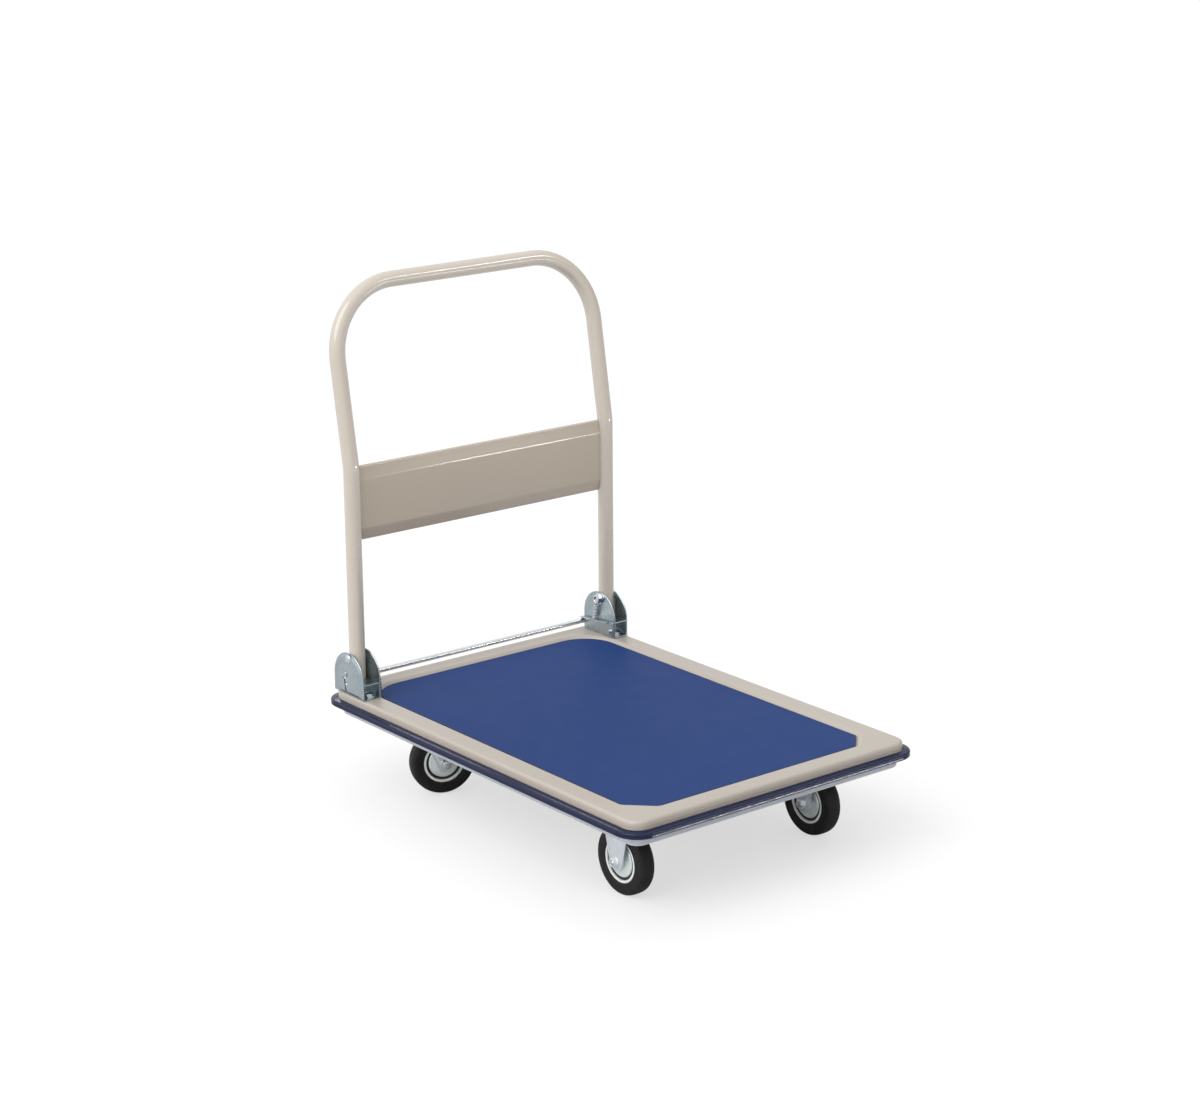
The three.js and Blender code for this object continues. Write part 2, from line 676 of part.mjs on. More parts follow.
function addSwivelCaster(name, side) {
  const place = "rear_" + name;
  const seat = new THREE.Group();
  seat.position.set(side * CASTER.x, CASTER.y, 0);
  const plateTop = CHANNEL.bottom - GAP;
  const outline = roundedOutline(PLATE.halfX, PLATE.halfY, PLATE.corner);
  add(seat, "top_plate_" + place, plate(outline, plateTop - PLATE.thickness, plateTop, 4), ZINC);
  const { bottom, top, radius, neck, bore } = RACE;
  const raceProfile = [
    [bore, bottom],
    [neck, bottom],
    [radius, bottom + 3.5],
    [radius, top],
    [bore, top],
    [bore, bottom],
  ];
  add(seat, "swivel_race_" + place, turned(raceProfile, 20), ZINC);
  const pin = KINGPIN;
  const pinProfile = [
    [0, pin.headBottom],
    [pin.headRadius - 1.5, pin.headBottom],
    [pin.headRadius, pin.headBottom + 1.5],
    [pin.headRadius, pin.headTop],
    [pin.radius, pin.headTop],
    [pin.radius, RACE.top],
    [0, RACE.top],
  ];
  add(seat, "kingpin_" + place, turned(pinProfile, BOLT_SEGMENTS), ZINC);
  const swivel = new THREE.Group();
  swivel.rotation.z = CASTER.parkedTurn;
  add(swivel, "fork_" + place, swivelFork(), ZINC);
  addWheel(swivel, place, CASTER.trail);
  seat.add(swivel);
  cart.add(seat);
}

function addCasters() {
  for (const [name, side] of Object.entries(SIDES)) {
    addFixedCaster(name, side);
    addSwivelCaster(name, side);
  }
}

addDeck();
addBrackets();
addHandle();
addRelease();
addCasters();

export default cart;
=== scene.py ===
"""Looks for a folding platform cart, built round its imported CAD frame. Meshes are drawn in millimetres and
made in metres. Lights, the camera and bump depths are in metres. +Z is up and the handle is at +Y, as in the
frame. Left is -X."""

import math

import bmesh
import bpy
from mathutils import Matrix, Vector, noise


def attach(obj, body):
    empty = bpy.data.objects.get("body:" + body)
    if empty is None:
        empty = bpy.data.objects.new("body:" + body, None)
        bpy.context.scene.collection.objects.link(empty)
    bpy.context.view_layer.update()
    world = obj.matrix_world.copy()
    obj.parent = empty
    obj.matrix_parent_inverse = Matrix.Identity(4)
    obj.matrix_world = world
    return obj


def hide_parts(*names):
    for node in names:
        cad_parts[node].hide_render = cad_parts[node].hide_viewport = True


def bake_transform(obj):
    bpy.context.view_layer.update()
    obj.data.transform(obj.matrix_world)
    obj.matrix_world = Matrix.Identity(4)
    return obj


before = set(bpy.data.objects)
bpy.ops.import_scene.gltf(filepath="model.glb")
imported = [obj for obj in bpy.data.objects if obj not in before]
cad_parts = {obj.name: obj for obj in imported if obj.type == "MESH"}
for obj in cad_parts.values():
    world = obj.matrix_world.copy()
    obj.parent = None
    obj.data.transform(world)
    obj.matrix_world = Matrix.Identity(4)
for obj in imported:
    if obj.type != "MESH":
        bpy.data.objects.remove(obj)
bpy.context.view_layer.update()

MM = 0.001
SIDES = (("left", -1), ("right", 1))

# ---- Sizes, in millimetres ----

DECK_HALF_X, DECK_HALF_Y, DECK_CORNER = 250.5, 358.5, 24.0
RIM_Z = 155.5
RECESS_Z = 150.0
MAT_HALF, MAT_FRONT, MAT_REAR = 213.5, -321.5, 322.0
MAT_CUT, MAT_CUT_SOFT, MAT_REAR_RADIUS = 33.0, 6.0, 55.0
RECESS_RUN = 5.8
CORNER_STEPS = 12
CHANNEL_Y, CHANNEL_HALF, CHANNEL_BOTTOM, CHANNEL_TOP = 243.0, 47.0, 129.0, 147.7
RIB_HALF = 20.0
FRAME_BOTTOM, FRAME_CORNER = 117.0, 25.0
TUBE_RADIUS, LEG_X, LEG_Y, LEG_BOTTOM = 12.0, 236.0, 308.5, 177.3
BEND_Z, BEND_LEAN, BEND_RADIUS = 500.0, math.radians(9.5), 120.0
GRIP_Z, GRIP_CORNER = 761.0, 107.0
PIVOT_Z = 213.0
CHEEK_IN, CHEEK_OUT, CHEEK_RADIUS, ARCH_Z = 221.5, 250.5, 38.5, 186.0
SHEET = 2.0
BAR_Y, BAR_Z, BAR_RADIUS = 345.0, 169.2, 4.0
CASTER_X, CASTER_Y, TRAIL = 172.0, 243.0, 33.0
PARKED_TURN = math.radians(-107.5)
WHEEL_RADIUS = 50.0
FORK_IN, FORK_SHEET, FORK_SHOULDER, FORK_END = 16.0, 2.4, 104.0, 13.0
FOOT_Z = RIM_Z + 0.3
PLATE_TOP, PLATE_SHEET = CHANNEL_BOTTOM - 0.3, 2.5
PLATE_HALF_X, PLATE_HALF_Y, PLATE_CORNER = 36.0, 46.0, 6.0
PLATE_BOLT_X, PLATE_BOLT_Y = 27.0, 36.0
M8_ACROSS = 13.0

# ---- Mesh building ----


def arc(cx, cy, radius, start, end, steps):
    """Points on a circle, from start to end in degrees."""
    turns = [math.radians(start + (end - start) * i / steps) for i in range(steps + 1)]
    return [(cx + radius * math.cos(t), cy + radius * math.sin(t)) for t in turns]


def loft(bm, rings, round_trip=False, caps=(False, False)):
    """Quads between rings of equal length. round_trip joins the last ring to the first."""
    loops = [[bm.verts.new(p) for p in ring] for ring in rings]
    pairs = list(zip(loops, loops[1:])) + ([(loops[-1], loops[0])] if round_trip else [])
    for a, b in pairs:
        for i in range(len(a)):
            j = (i + 1) % len(a)
            bm.faces.new((a[i], a[j], b[j], b[i]))
    if caps[0]:
        bm.faces.new(list(reversed(loops[0])))
    if caps[1]:
        bm.faces.new(loops[-1])
    return loops


def moved(bm, matrix, start=0):
    bm.verts.ensure_lookup_table()
    bmesh.ops.transform(bm, matrix=matrix, verts=bm.verts[start:])


def lathe(bm, profile, segments, matrix=None, caps=(False, False), round_trip=False):
    """A profile of (radius, height), turned about Z and then placed by matrix."""
    start = len(bm.verts)
    turns = [2 * math.pi * i / segments for i in range(segments)]
    rings = [[(r * math.cos(t), r * math.sin(t), h) for t in turns] for r, h in profile]
    loft(bm, rings, round_trip, caps)
    if matrix is not None:
        moved(bm, matrix, start)


def hex_radius(turn, across):
    sector = math.pi / 3
    return across / 2 / math.cos((turn + sector / 2) % sector - sector / 2)


def hexagon(bm, across, height, matrix, bore=0.0):
    """A bolt head or nut along Z from 0 to height, its corners turned down on the far face."""
    start = len(bm.verts)
    turns = [2 * math.pi * i / 36 for i in range(36)]
    flat = across / 2 * 0.95

    def ring(radius_of, height_of):
        return [(radius_of(t) * math.cos(t), radius_of(t) * math.sin(t), height_of(t)) for t in turns]

    def corner(t):
        return hex_radius(t, across)

    def slope(t):
        return (corner(t) - flat) * 0.55

    rings = [ring(corner, lambda t: 0), ring(corner, lambda t: height - slope(t))]
    rings.append(ring(lambda t: flat, lambda t: height))
    if bore:
        rings.append(ring(lambda t: bore + 0.5, lambda t: height))
        rings.append(ring(lambda t: bore, lambda t: height - 0.5))
        rings.append(ring(lambda t: bore, lambda t: 0))
        loft(bm, rings, round_trip=True)
    else:
        loft(bm, rings, caps=(True, True))
    moved(bm, matrix, start)


def washer(bm, seat, flat, outer, height, segments=28, low=0.0):
    """A washer for an M8 bolt along Z from low to height, its face flat out to a radius short of its rim."""
    profile = [(4.4, low), (4.4, height), (flat, height), (outer, height - 0.3), (outer, low)]
    lathe(bm, profile, segments, seat, round_trip=True)


def frames_along(path):
    """A point, side and normal at each step of a path, carried without twist."""
    points = [Vector(p) for p in path]
    tangents = []
    for i in range(len(points)):
        a, b = points[max(i - 1, 0)], points[min(i + 1, len(points) - 1)]
        tangents.append((b - a).normalized())
    guide = Vector((0, 1, 0)) if abs(tangents[0].y) < 0.9 else Vector((1, 0, 0))
    normal = (guide - tangents[0] * guide.dot(tangents[0])).normalized()
    made = []
    for point, tangent in zip(points, tangents):
        normal = (normal - tangent * normal.dot(tangent)).normalized()
        made.append((point, tangent.cross(normal), normal))
    return made


def sweep(bm, path, radius, sides=16, swell=None):
    """A round bar along a path, closed at both ends. swell(i) scales its radius at step i."""
    rings = []
    for i, (point, side, normal) in enumerate(frames_along(path)):
        r = radius * (swell(i) if swell else 1)
        turns = [2 * math.pi * k / sides for k in range(sides)]
        rings.append([point + side * (r * math.cos(t)) + normal * (r * math.sin(t)) for t in turns])
    loft(bm, rings, caps=(True, True))


def offset_loop(points, distance, closed=True):
    """A counter-clockwise loop moved inwards by distance, corner by corner."""
    n = len(points)
    made = []
    for i in range(n):
        p = Vector(points[i])
        before = Vector(points[i - 1] if closed or i else points[i])
        after = Vector(points[(i + 1) % n] if closed or i < n - 1 else points[i])
        a = (p - before).normalized() if (p - before).length > 1e-9 else (after - p).normalized()
        b = (after - p).normalized() if (after - p).length > 1e-9 else a
        na, nb = Vector((-a.y, a.x)), Vector((-b.y, b.x))
        middle = (na + nb).normalized()
        made.append(tuple(p + middle * (distance / max(middle.dot(na), 0.5))))
    return made


def pressed_plate(bm, outline, thickness, place, rise=0.0, land=4.0, slope=6.0, bevel=0.5):
    """A sheet from 0 to thickness along the third axis, its middle pressed out by rise inside a flat land.
    place(u, v, w) turns the outline's two axes and the thickness into a point."""
    levels = [(0.0, 0.0)]
    if rise:
        levels += [(land + slope * t, rise * t * t * (3 - 2 * t)) for t in (0, 0.25, 0.5, 0.75, 1)]
    rings = []
    for inset, lift in reversed(levels[1:]):
        rings.append([place(u, v, lift) for u, v in offset_loop(outline, inset)])
    rings.append([place(u, v, 0) for u, v in offset_loop(outline, bevel)])
    rings.append([place(u, v, bevel) for u, v in outline])
    rings.append([place(u, v, thickness - bevel) for u, v in outline])
    rings.append([place(u, v, thickness) for u, v in offset_loop(outline, bevel)])
    for inset, lift in levels[1:]:
        rings.append([place(u, v, thickness + lift) for u, v in offset_loop(outline, inset)])
    loft(bm, rings, caps=(True, True))


def fillet(points, radius, steps=5):
    """An open polyline with every inner corner rounded."""
    made = [points[0]]
    for before, corner, after in zip(points, points[1:], points[2:]):
        p = Vector(corner)
        a, b = (Vector(before) - p), (Vector(after) - p)
        half = a.angle(b) / 2
        reach = min(radius / math.tan(half), a.length * 0.49, b.length * 0.49)
        start, end = p + a.normalized() * reach, p + b.normalized() * reach
        for i in range(steps + 1):
            t = i / steps
            made.append(tuple(start * (1 - t) ** 2 + p * (2 * t * (1 - t)) + end * t**2))
    made.append(points[-1])
    return made


def sheet_section(points, thickness, radius):
    """The closed outline of a folded sheet whose outer face runs along points."""
    outer = fillet(points, radius)
    return outer + list(reversed(offset_loop(outer, thickness, closed=False)))


def extrude_along_x(bm, section, x0, x1):
    """A section in Y and Z, carried along X."""
    loft(bm, [[(x, y, z) for y, z in section] for x in (x0, x1)], caps=(True, True))


def deck_outline(grow, corner=DECK_CORNER):
    """The deck's rounded rectangle, grown outwards."""
    hx, hy, r = DECK_HALF_X + grow, DECK_HALF_Y + grow, max(corner + grow, 3)
    steps = CORNER_STEPS
    return (
        arc(hx - r, r - hy, r, -90, 0, steps)
        + arc(hx - r, hy - r, r, 0, 90, steps)
        + arc(r - hx, hy - r, r, 90, 180, steps)
        + arc(r - hx, r - hy, r, 180, 270, steps)
    )


def mat_outline(grow):
    """Cut corners in front and round ones behind, with as many points as the deck's outline."""
    steps = CORNER_STEPS
    half, front, rear = MAT_HALF + grow, MAT_FRONT - grow, MAT_REAR + grow
    cut = MAT_CUT + grow * (2 - math.sqrt(2))
    r = max(MAT_CUT_SOFT + grow, 1.5)
    reach = r * math.tan(math.radians(22.5))
    round_r = MAT_REAR_RADIUS + grow
    few = steps // 2
    right = arc(half - cut - reach, front + r, r, -90, -45, few)
    right += arc(half - r, front + cut + reach, r, -45, 0, few)[1:]
    left = [(-x, y) for x, y in reversed(right)]
    return (
        right
        + arc(half - round_r, rear - round_r, round_r, 0, 90, steps)
        + arc(round_r - half, rear - round_r, round_r, 90, 180, steps)
        + left
    )


def piece(name, bm, look, body, replaced=(), smooth=35):
    """Turns a bmesh in millimetres into a finished piece that rides on a body. Edges sharper than smooth
    degrees stay sharp."""
    bmesh.ops.recalc_face_normals(bm, faces=bm.faces)
    bmesh.ops.scale(bm, vec=(MM, MM, MM), verts=bm.verts)
    mesh = bpy.data.meshes.new(name)
    bm.to_mesh(mesh)
    bm.free()
    mesh.shade_smooth()
    mesh.set_sharp_from_angle(angle=math.radians(smooth))
    mesh.materials.append(look)
    obj = bpy.data.objects.new(name, mesh)
    bpy.context.scene.collection.objects.link(obj)
    if body:
        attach(obj, body)
    if replaced:
        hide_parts(*replaced)
    return obj


def even_normals(obj):
    modifier = obj.modifiers.new("even_normals", "WEIGHTED_NORMAL")
    modifier.keep_sharp = True
    return obj


# ---- Materials ----


class Nodes:
    """A material's node tree, built up step by step."""

    def __init__(self, name, roughness, metallic=0.0, coat=0.0, specular=0.5, polish=0.18):
        self.material = bpy.data.materials.new(name)
        self.material.use_nodes = True
        self.tree = self.material.node_tree
        self.shader = self.tree.nodes["Principled BSDF"]
        self.roughness = roughness
        self.shader.inputs["Roughness"].default_value = roughness
        self.shader.inputs["Metallic"].default_value = metallic
        self.shader.inputs["Coat Weight"].default_value = coat
        self.shader.inputs["Coat Roughness"].default_value = polish
        self.shader.inputs["Specular IOR Level"].default_value = specular
        self.place = self.new("ShaderNodeTexCoord").outputs["Object"]

    def new(self, kind, **values):
        node = self.tree.nodes.new(kind)
        for key, value in values.items():
            setattr(node, key, value)
        return node

    def link(self, source, target):
        self.tree.links.new(source, target)

    def stretched(self, scale):
        node = self.new("ShaderNodeMapping")
        node.inputs["Scale"].default_value = scale
        self.link(self.place, node.inputs["Vector"])
        return node.outputs["Vector"]

    def noise(self, scale, detail=3.0, stretch=None):
        node = self.new("ShaderNodeTexNoise")
        node.inputs["Scale"].default_value = scale
        node.inputs["Detail"].default_value = detail
        self.link(self.stretched(stretch) if stretch else self.place, node.inputs["Vector"])
        return node.outputs["Fac"]

    def cells(self, scale):
        node = self.new("ShaderNodeTexVoronoi", feature="SMOOTH_F1")
        node.inputs["Scale"].default_value = scale
        self.link(self.place, node.inputs["Vector"])
        return node.outputs["Distance"]

    def spread(self, value, low, high, to_low, to_high):
        node = self.new("ShaderNodeMapRange")
        for key, number in (("From Min", low), ("From Max", high), ("To Min", to_low), ("To Max", to_high)):
            node.inputs[key].default_value = number
        self.link(value, node.inputs["Value"])
        return node.outputs["Result"]

    def mix(self, factor, a, b):
        node = self.new("ShaderNodeMix", data_type="RGBA")
        self.link(factor, node.inputs[0])
        for socket, value in ((node.inputs[6], a), (node.inputs[7], b)):
            if isinstance(value, tuple):
                socket.default_value = (*value, 1)
            else:
                self.link(value, socket)
        return node.outputs[2]

    def mottled(self, source, color, amount):
        """A colour that wanders a little to either side of itself."""
        share = self.spread(source, 0.3, 0.7, 0, 1)
        return self.mix(share, tinted(color, 1 - amount), tinted(color, 1 + amount))

    def combined(self, operation, a, b):
        node = self.new("ShaderNodeMath", operation=operation)
        self.link(a, node.inputs[0])
        self.link(b, node.inputs[1])
        return node.outputs[0]

    def bump(self, height, distance, strength=1.0):
        node = self.new("ShaderNodeBump")
        node.inputs["Strength"].default_value = strength
        node.inputs["Distance"].default_value = distance
        self.link(height, node.inputs["Height"])
        self.link(node.outputs["Normal"], self.shader.inputs["Normal"])

    def edges(self, low=0.52, high=0.6):
        """1 on sharp outer edges, 0 elsewhere, broken up by noise."""
        pointy = self.new("ShaderNodeNewGeometry").outputs["Pointiness"]
        return self.combined("MULTIPLY", self.spread(pointy, low, high, 0, 1), self.noise(160, 4))

    def vary_roughness(self, source, amount):
        """Roughness amount above and below the material's own, after the source."""
        low, high = self.roughness - amount, self.roughness + amount
        self.link(self.spread(source, 0.3, 0.7, low, high), self.shader.inputs["Roughness"])

    def color(self, source):
        self.link(source, self.shader.inputs["Base Color"])


def tinted(color, factor):
    """A colour made brighter or darker."""
    return tuple(min(c * factor, 1) for c in color)


def paint(name, color, roughness=0.34, coat=0.15, mottle=0.03, polish=0.18):
    """Stoved enamel: an even colour under a clear gloss, brighter where sharp edges are rubbed."""
    n = Nodes(name, roughness, coat=coat, polish=polish)
    n.color(n.mix(n.edges(0.6, 0.75), n.mottled(n.noise(5, 1.5), color, mottle), tinted(color, 1.12)))
    n.vary_roughness(n.noise(9, 1), 0.02)
    n.bump(n.noise(260, 2), 0.00001, 0.3)
    return n.material


def zinc(name, color, roughness=0.3, grain=(1, 1, 1), mottle=0.06, metallic=1.0):
    """Zinc plate with a faint spangle. A grain longer along X makes drawn bar."""
    n = Nodes(name, roughness, metallic=metallic)
    spangle = n.noise(90, 5)
    cool = tinted((color[0] * 0.94, color[1], color[2] * 1.04), 1 - mottle)
    base = n.mix(n.spread(spangle, 0.35, 0.65, 0, 1), cool, tinted(color, 1 + mottle))
    n.color(n.mix(n.edges(0.53, 0.62), base, tinted(color, 1.3)))
    n.vary_roughness(n.noise(240, 4, grain), 0.05)
    n.bump(n.noise(500, 3, grain), 0.00002, 0.4)
    return n.material


def moulded(name, color, roughness=0.45, grain=450, depth=0.00005, mottle=0.04, wear=1.25, specular=0.5):
    """Moulded plastic or vinyl with a fine grain, depth in metres, paler on its edges."""
    n = Nodes(name, roughness, specular=specular)
    n.color(n.mix(n.edges(), n.mottled(n.noise(20, 2), color, mottle), tinted(color, wear)))
    n.vary_roughness(n.noise(90, 3), 0.06)
    n.bump(n.noise(grain, 3), depth, 0.4)
    return n.material


def mat_vinyl():
    """Calendered vinyl: small pebbles in a fine leather grain, slightly scuffed."""
    color = (0.0095, 0.0385, 0.163)
    n = Nodes("mat_vinyl", 0.55, specular=0.14)
    base = n.mottled(n.noise(5, 3), color, 0.02)
    base = n.mix(n.spread(n.noise(300, 4), 0.5, 0.8, 0, 0.3), base, tinted(color, 1.3))
    n.color(n.mix(n.edges(), base, tinted(color, 1.5)))
    n.vary_roughness(n.noise(24, 4), 0.02)
    pebbles = n.spread(n.cells(420), 0.0, 0.6, 0, 1)
    n.bump(n.combined("ADD", pebbles, n.spread(n.noise(900, 2), 0, 1, 0, 0.4)), 0.00012, 0.5)
    return n.material


def rubber():
    """Black tyre rubber with a little dust in its grain."""
    color = (0.0095, 0.0088, 0.0088)
    n = Nodes("tyre_rubber", 0.52, specular=0.25)
    dust = n.noise(70, 5)
    base = n.mix(n.spread(dust, 0.45, 0.75, 0, 0.5), color, (0.022, 0.02, 0.019))
    n.color(n.mix(n.edges(0.51, 0.58), base, (0.03, 0.028, 0.026)))
    n.vary_roughness(n.noise(110, 4), 0.08)
    n.bump(n.noise(650, 3), 0.00006, 0.5)
    return n.material


DECK_PAINT = paint("deck_paint", (0.44, 0.395, 0.345), 0.34, 0.25)
TUBE_PAINT = paint("tube_paint", (0.54, 0.485, 0.415), 0.26, 1.0, 0.015, 0.08)
PANEL_PAINT = paint("panel_paint", (0.425, 0.36, 0.285), 0.3, 0.6, 0.015, 0.12)
MAT_VINYL = mat_vinyl()
TRIM_VINYL = moulded("trim_vinyl", (0.008, 0.0125, 0.047), 0.2, 60, 0.000003, 0.02, 1.1, 0.3)
FRAME_PAINT = paint("frame_paint", (0.50, 0.53, 0.59), 0.36, 0.1)
PLATE_ZINC = zinc("plate_zinc", (0.40, 0.45, 0.475), 0.3)
BAR_ZINC = zinc("bar_zinc", (0.84, 0.84, 0.83), 0.14, (0.1, 8, 8), 0.02)
FASTENER_ZINC = zinc("fastener_zinc", (0.62, 0.64, 0.64), 0.24)
CASTER_ZINC = zinc("caster_zinc", (0.78, 0.81, 0.84), 0.32, mottle=0.03, metallic=0.85)
COVER_ZINC = zinc("cover_zinc", (0.86, 0.91, 0.88), 0.38, mottle=0.03, metallic=0.6)
SPRING_WIRE = zinc("spring_wire", (0.55, 0.57, 0.58), 0.22)
# Near-black navy for a thin ring round the mat: painted shade for the shadow in the gap between the mat and
# the recess wall.
MAT_GAP_SHADE = moulded("mat_gap_shade", (0.006, 0.012, 0.04), 0.5, 300, 0.00002)
RUBBER = rubber()
RIM_WHITE = moulded("rim_white", (0.80, 0.80, 0.78), 0.35)
SEAL_BLACK = moulded("seal_black", (0.012, 0.013, 0.014), 0.5)
PLUG_BLACK = moulded("plug_black", (0.016, 0.016, 0.017), 0.5)

# ---- Deck, mat, trim and frame ----


def around(outline, profile):
    """One ring round the outline for each (grow, z) of a profile."""
    return [[(x, y, z) for x, y in outline(grow)] for grow, z in profile]


def deck_shell():
    bm = bmesh.new()
    outside = [(9, 141.5), (1.2, 141.5)]
    outside += [(1.0 + u, 142.5 + v) for u, v in arc(0, 0, 1, -96, -180, 4)]
    outside += [(0, 145.6), (-0.7, 146.0), (-0.7, 146.4), (0, 146.9), (0, 148.5)]
    outside += [(-4.5 + 4.5 * u, 151 + 4.5 * v) for u, v in arc(0, 0, 1, 0, 90, 7)]
    head = [(3, 0), (1.7, 0.05), (0.7, 0.35), (-0.3, 0.9), (-1.5, 1.9), (-2.6, 3.1), (-3.5, 4.1)]
    foot = [(1.4, 0.65), (0.3, 0.25), (-1.0, 0.05), (-3, 0)]
    inside = [(RECESS_RUN + run, RIM_Z - drop) for run, drop in head]
    inside += [(run, RECESS_Z + rise) for run, rise in foot]
    rings = around(deck_outline, outside) + around(mat_outline, inside)
    loft(bm, rings, caps=(False, True))
    obj = piece("deck_shell", bm, DECK_PAINT, "deck", ["deck_tray"])
    modifier = obj.modifiers.new("sheet", "SOLIDIFY")
    modifier.thickness = 1.9 * MM
    modifier.offset = -1
    even_normals(obj)


def deck_mat():
    bm = bmesh.new()
    profile = [(-0.5, 150.3), (-0.4, 151.4)]
    profile += [(-1.3 + 0.9 * u, 151.4 + 0.9 * v) for u, v in arc(0, 0, 1, 0, 90, 4)]
    profile += [(-4, 152.3)]
    loft(bm, around(mat_outline, profile), caps=(True, True))
    even_normals(piece("deck_mat", bm, MAT_VINYL, "deck", ["mat"]))
    # A dark ring round the mat's edge, as its own piece: painted shade for the shadow in the gap between the
    # mat and the recess wall.
    bm = bmesh.new()
    shade_ring = [(0.5, 150.6), (0.4, 151.6), (0.1, 152.1), (-0.4, 152.4), (-1.0, 152.45)]
    shade_ring += [(-1.5, 152.2), (-1.4, 150.6)]
    loft(bm, around(mat_outline, shade_ring), round_trip=True)
    even_normals(piece("deck_mat_gap_shade", bm, MAT_GAP_SHADE, "deck"))


def trim_strip():
    """One length of moulding round the deck, its ends meeting at the front left corner."""
    profile = [(1.1, 142.6), (1.6, 143.4), (8.4, 142.3)]
    profile += [(8.6 + 2.9 * u, 139.3 + 2.9 * v) for u, v in arc(0, 0, 1, 70, 0, 5)]
    profile += [(11.2, 138.5), (10.2, 138.1), (10.3, 137.6), (10.9, 137.3)]
    profile += [(9.5 + 2.0 * u, 135.1 + 1.6 * v) for u, v in arc(0, 0, 1, 8, -90, 5)]
    profile += [(5.2, 133.5), (4.4, 134.3), (4.4, 138.9), (9.2, 139.0), (9.2, 141.8), (1.6, 141.9)]
    stations = [list(column) for column in zip(*around(deck_outline, profile))]
    seam = 3 * len(stations) // 4
    stations = stations[seam:] + stations[:seam]
    gap = Vector((0, 0.35, 0))
    first = [tuple(Vector(p) - gap) for p in stations[0]]
    last = [tuple(Vector(p) + gap) for p in stations[0]]
    bm = bmesh.new()
    loft(bm, [first] + stations[1:] + [last], caps=(True, True))
    obj = piece("trim_strip", bm, TRIM_VINYL, "deck", ["edge_trim"], 40)
    even_normals(obj)
    return obj


def frame_rail():
    bm = bmesh.new()
    bend = FRAME_BOTTOM + 3.5
    profile = [(-7, 153)] + [(-10.5 + 3.5 * u, bend + 3.5 * v) for u, v in arc(0, 0, 1, 0, -90, 5)]
    profile += [(-26.5, FRAME_BOTTOM), (-27, bend - 3), (-27, bend - 2), (-26.5, bend - 1.5)]
    profile += [(-10.5 + 1.5 * u, bend + 1.5 * v) for u, v in arc(0, 0, 1, -90, 0, 3)] + [(-9, 153)]
    loft(bm, around(lambda grow: deck_outline(grow, FRAME_CORNER), profile), round_trip=True)
    even_normals(piece("frame_rail", bm, FRAME_PAINT, "deck", ["under_frame"]))


def channel_section(half):
    points = [(-half, CHANNEL_TOP), (-half, CHANNEL_BOTTOM), (half, CHANNEL_BOTTOM), (half, CHANNEL_TOP)]
    return sheet_section(points, SHEET, 4)


def cross_members():
    reach = DECK_HALF_X - 9.3
    for place, side in (("front", -1), ("rear", 1)):
        bm = bmesh.new()
        extrude_along_x(bm, channel_section(CHANNEL_HALF), -reach, reach)
        moved(bm, Matrix.Translation((0, side * CHANNEL_Y, 0)))
        node = "cross_channel_" + place
        even_normals(piece("channel_" + place, bm, FRAME_PAINT, "deck", [node]))
    bm = bmesh.new()
    half = CHANNEL_Y - CHANNEL_HALF - 0.3
    extrude_along_x(bm, channel_section(RIB_HALF), -half, half)
    moved(bm, Matrix.Rotation(math.pi / 2, 4, "Z"))
    even_normals(piece("deck_rib", bm, FRAME_PAINT, "deck", ["centre_rib"]))


def weld_bead(bm, start, end, radius, seed):
    """A ripple-faced fillet of weld metal between two points."""
    a, b = Vector(start), Vector(end)
    steps = max(int((b - a).length / (radius * 0.5)), 6)
    path = [a.lerp(b, i / steps) for i in range(steps + 1)]

    def swell(i):
        taper = min(1, 0.35 + 0.5 * min(i, steps - i))
        return taper * (1 + 0.12 * math.sin(i * 1.6) + 0.15 * noise.noise(Vector((i * 0.37, seed, 0))))

    sweep(bm, path, radius, 8, swell)


def frame_welds():
    bm = bmesh.new()
    wall = DECK_HALF_X - 9.5
    seed = 0
    for end in (-1, 1):
        for edge in (-1, 1):
            y = end * CHANNEL_Y + edge * (CHANNEL_HALF + 0.6)
            for side in (-1, 1):
                seed += 1
                weld_bead(bm, (side * wall, y, 131), (side * wall, y, 145), 1.8, seed)
        for side in (-1, 1):
            seed += 1
            y = end * (CHANNEL_Y - CHANNEL_HALF - 0.4)
            weld_bead(bm, (side * 16, y, 129.4), (side * 4, y, 129.4), 1.6, seed)
    piece("frame_welds", bm, FRAME_PAINT, "deck", smooth=60)


# ---- Handle ----


def handle_path():
    """The tube's centre line, from the foot of the left leg to the foot of the right one."""
    lean = Vector((0, math.sin(BEND_LEAN), math.cos(BEND_LEAN)))
    bend_start = BEND_Z - BEND_RADIUS * math.tan(BEND_LEAN / 2)
    centre_y = LEG_Y + BEND_RADIUS
    half = [Vector((LEG_X, LEG_Y, z)) for z in (LEG_BOTTOM, 240, 320, 400, 460)]
    for i in range(9):
        a = BEND_LEAN * i / 8
        y, z = centre_y - BEND_RADIUS * math.cos(a), bend_start + BEND_RADIUS * math.sin(a)
        half.append(Vector((LEG_X, y, z)))
    rise = (GRIP_Z - half[-1].z) / math.cos(BEND_LEAN) - GRIP_CORNER
    corner = half[-1] + lean * rise
    half += [half[-1].lerp(corner, t) for t in (0.35, 0.7)]
    centre = corner - Vector((GRIP_CORNER, 0, 0))
    for i in range(21):
        a = math.radians(90 * i / 20)
        half.append(centre + Vector((math.cos(a), 0, 0)) * GRIP_CORNER + lean * (GRIP_CORNER * math.sin(a)))
    half += [Vector((x, half[-1].y, half[-1].z)) for x in (85, 40)]
    mirrored = [Vector((-p.x, p.y, p.z)) for p in half]
    return mirrored + list(reversed(half))


def handle_frame():
    bm = bmesh.new()
    sweep(bm, handle_path(), TUBE_RADIUS, 36)
    piece("handle_bow", bm, TUBE_PAINT, "handle", ["handle_tube"], 50)


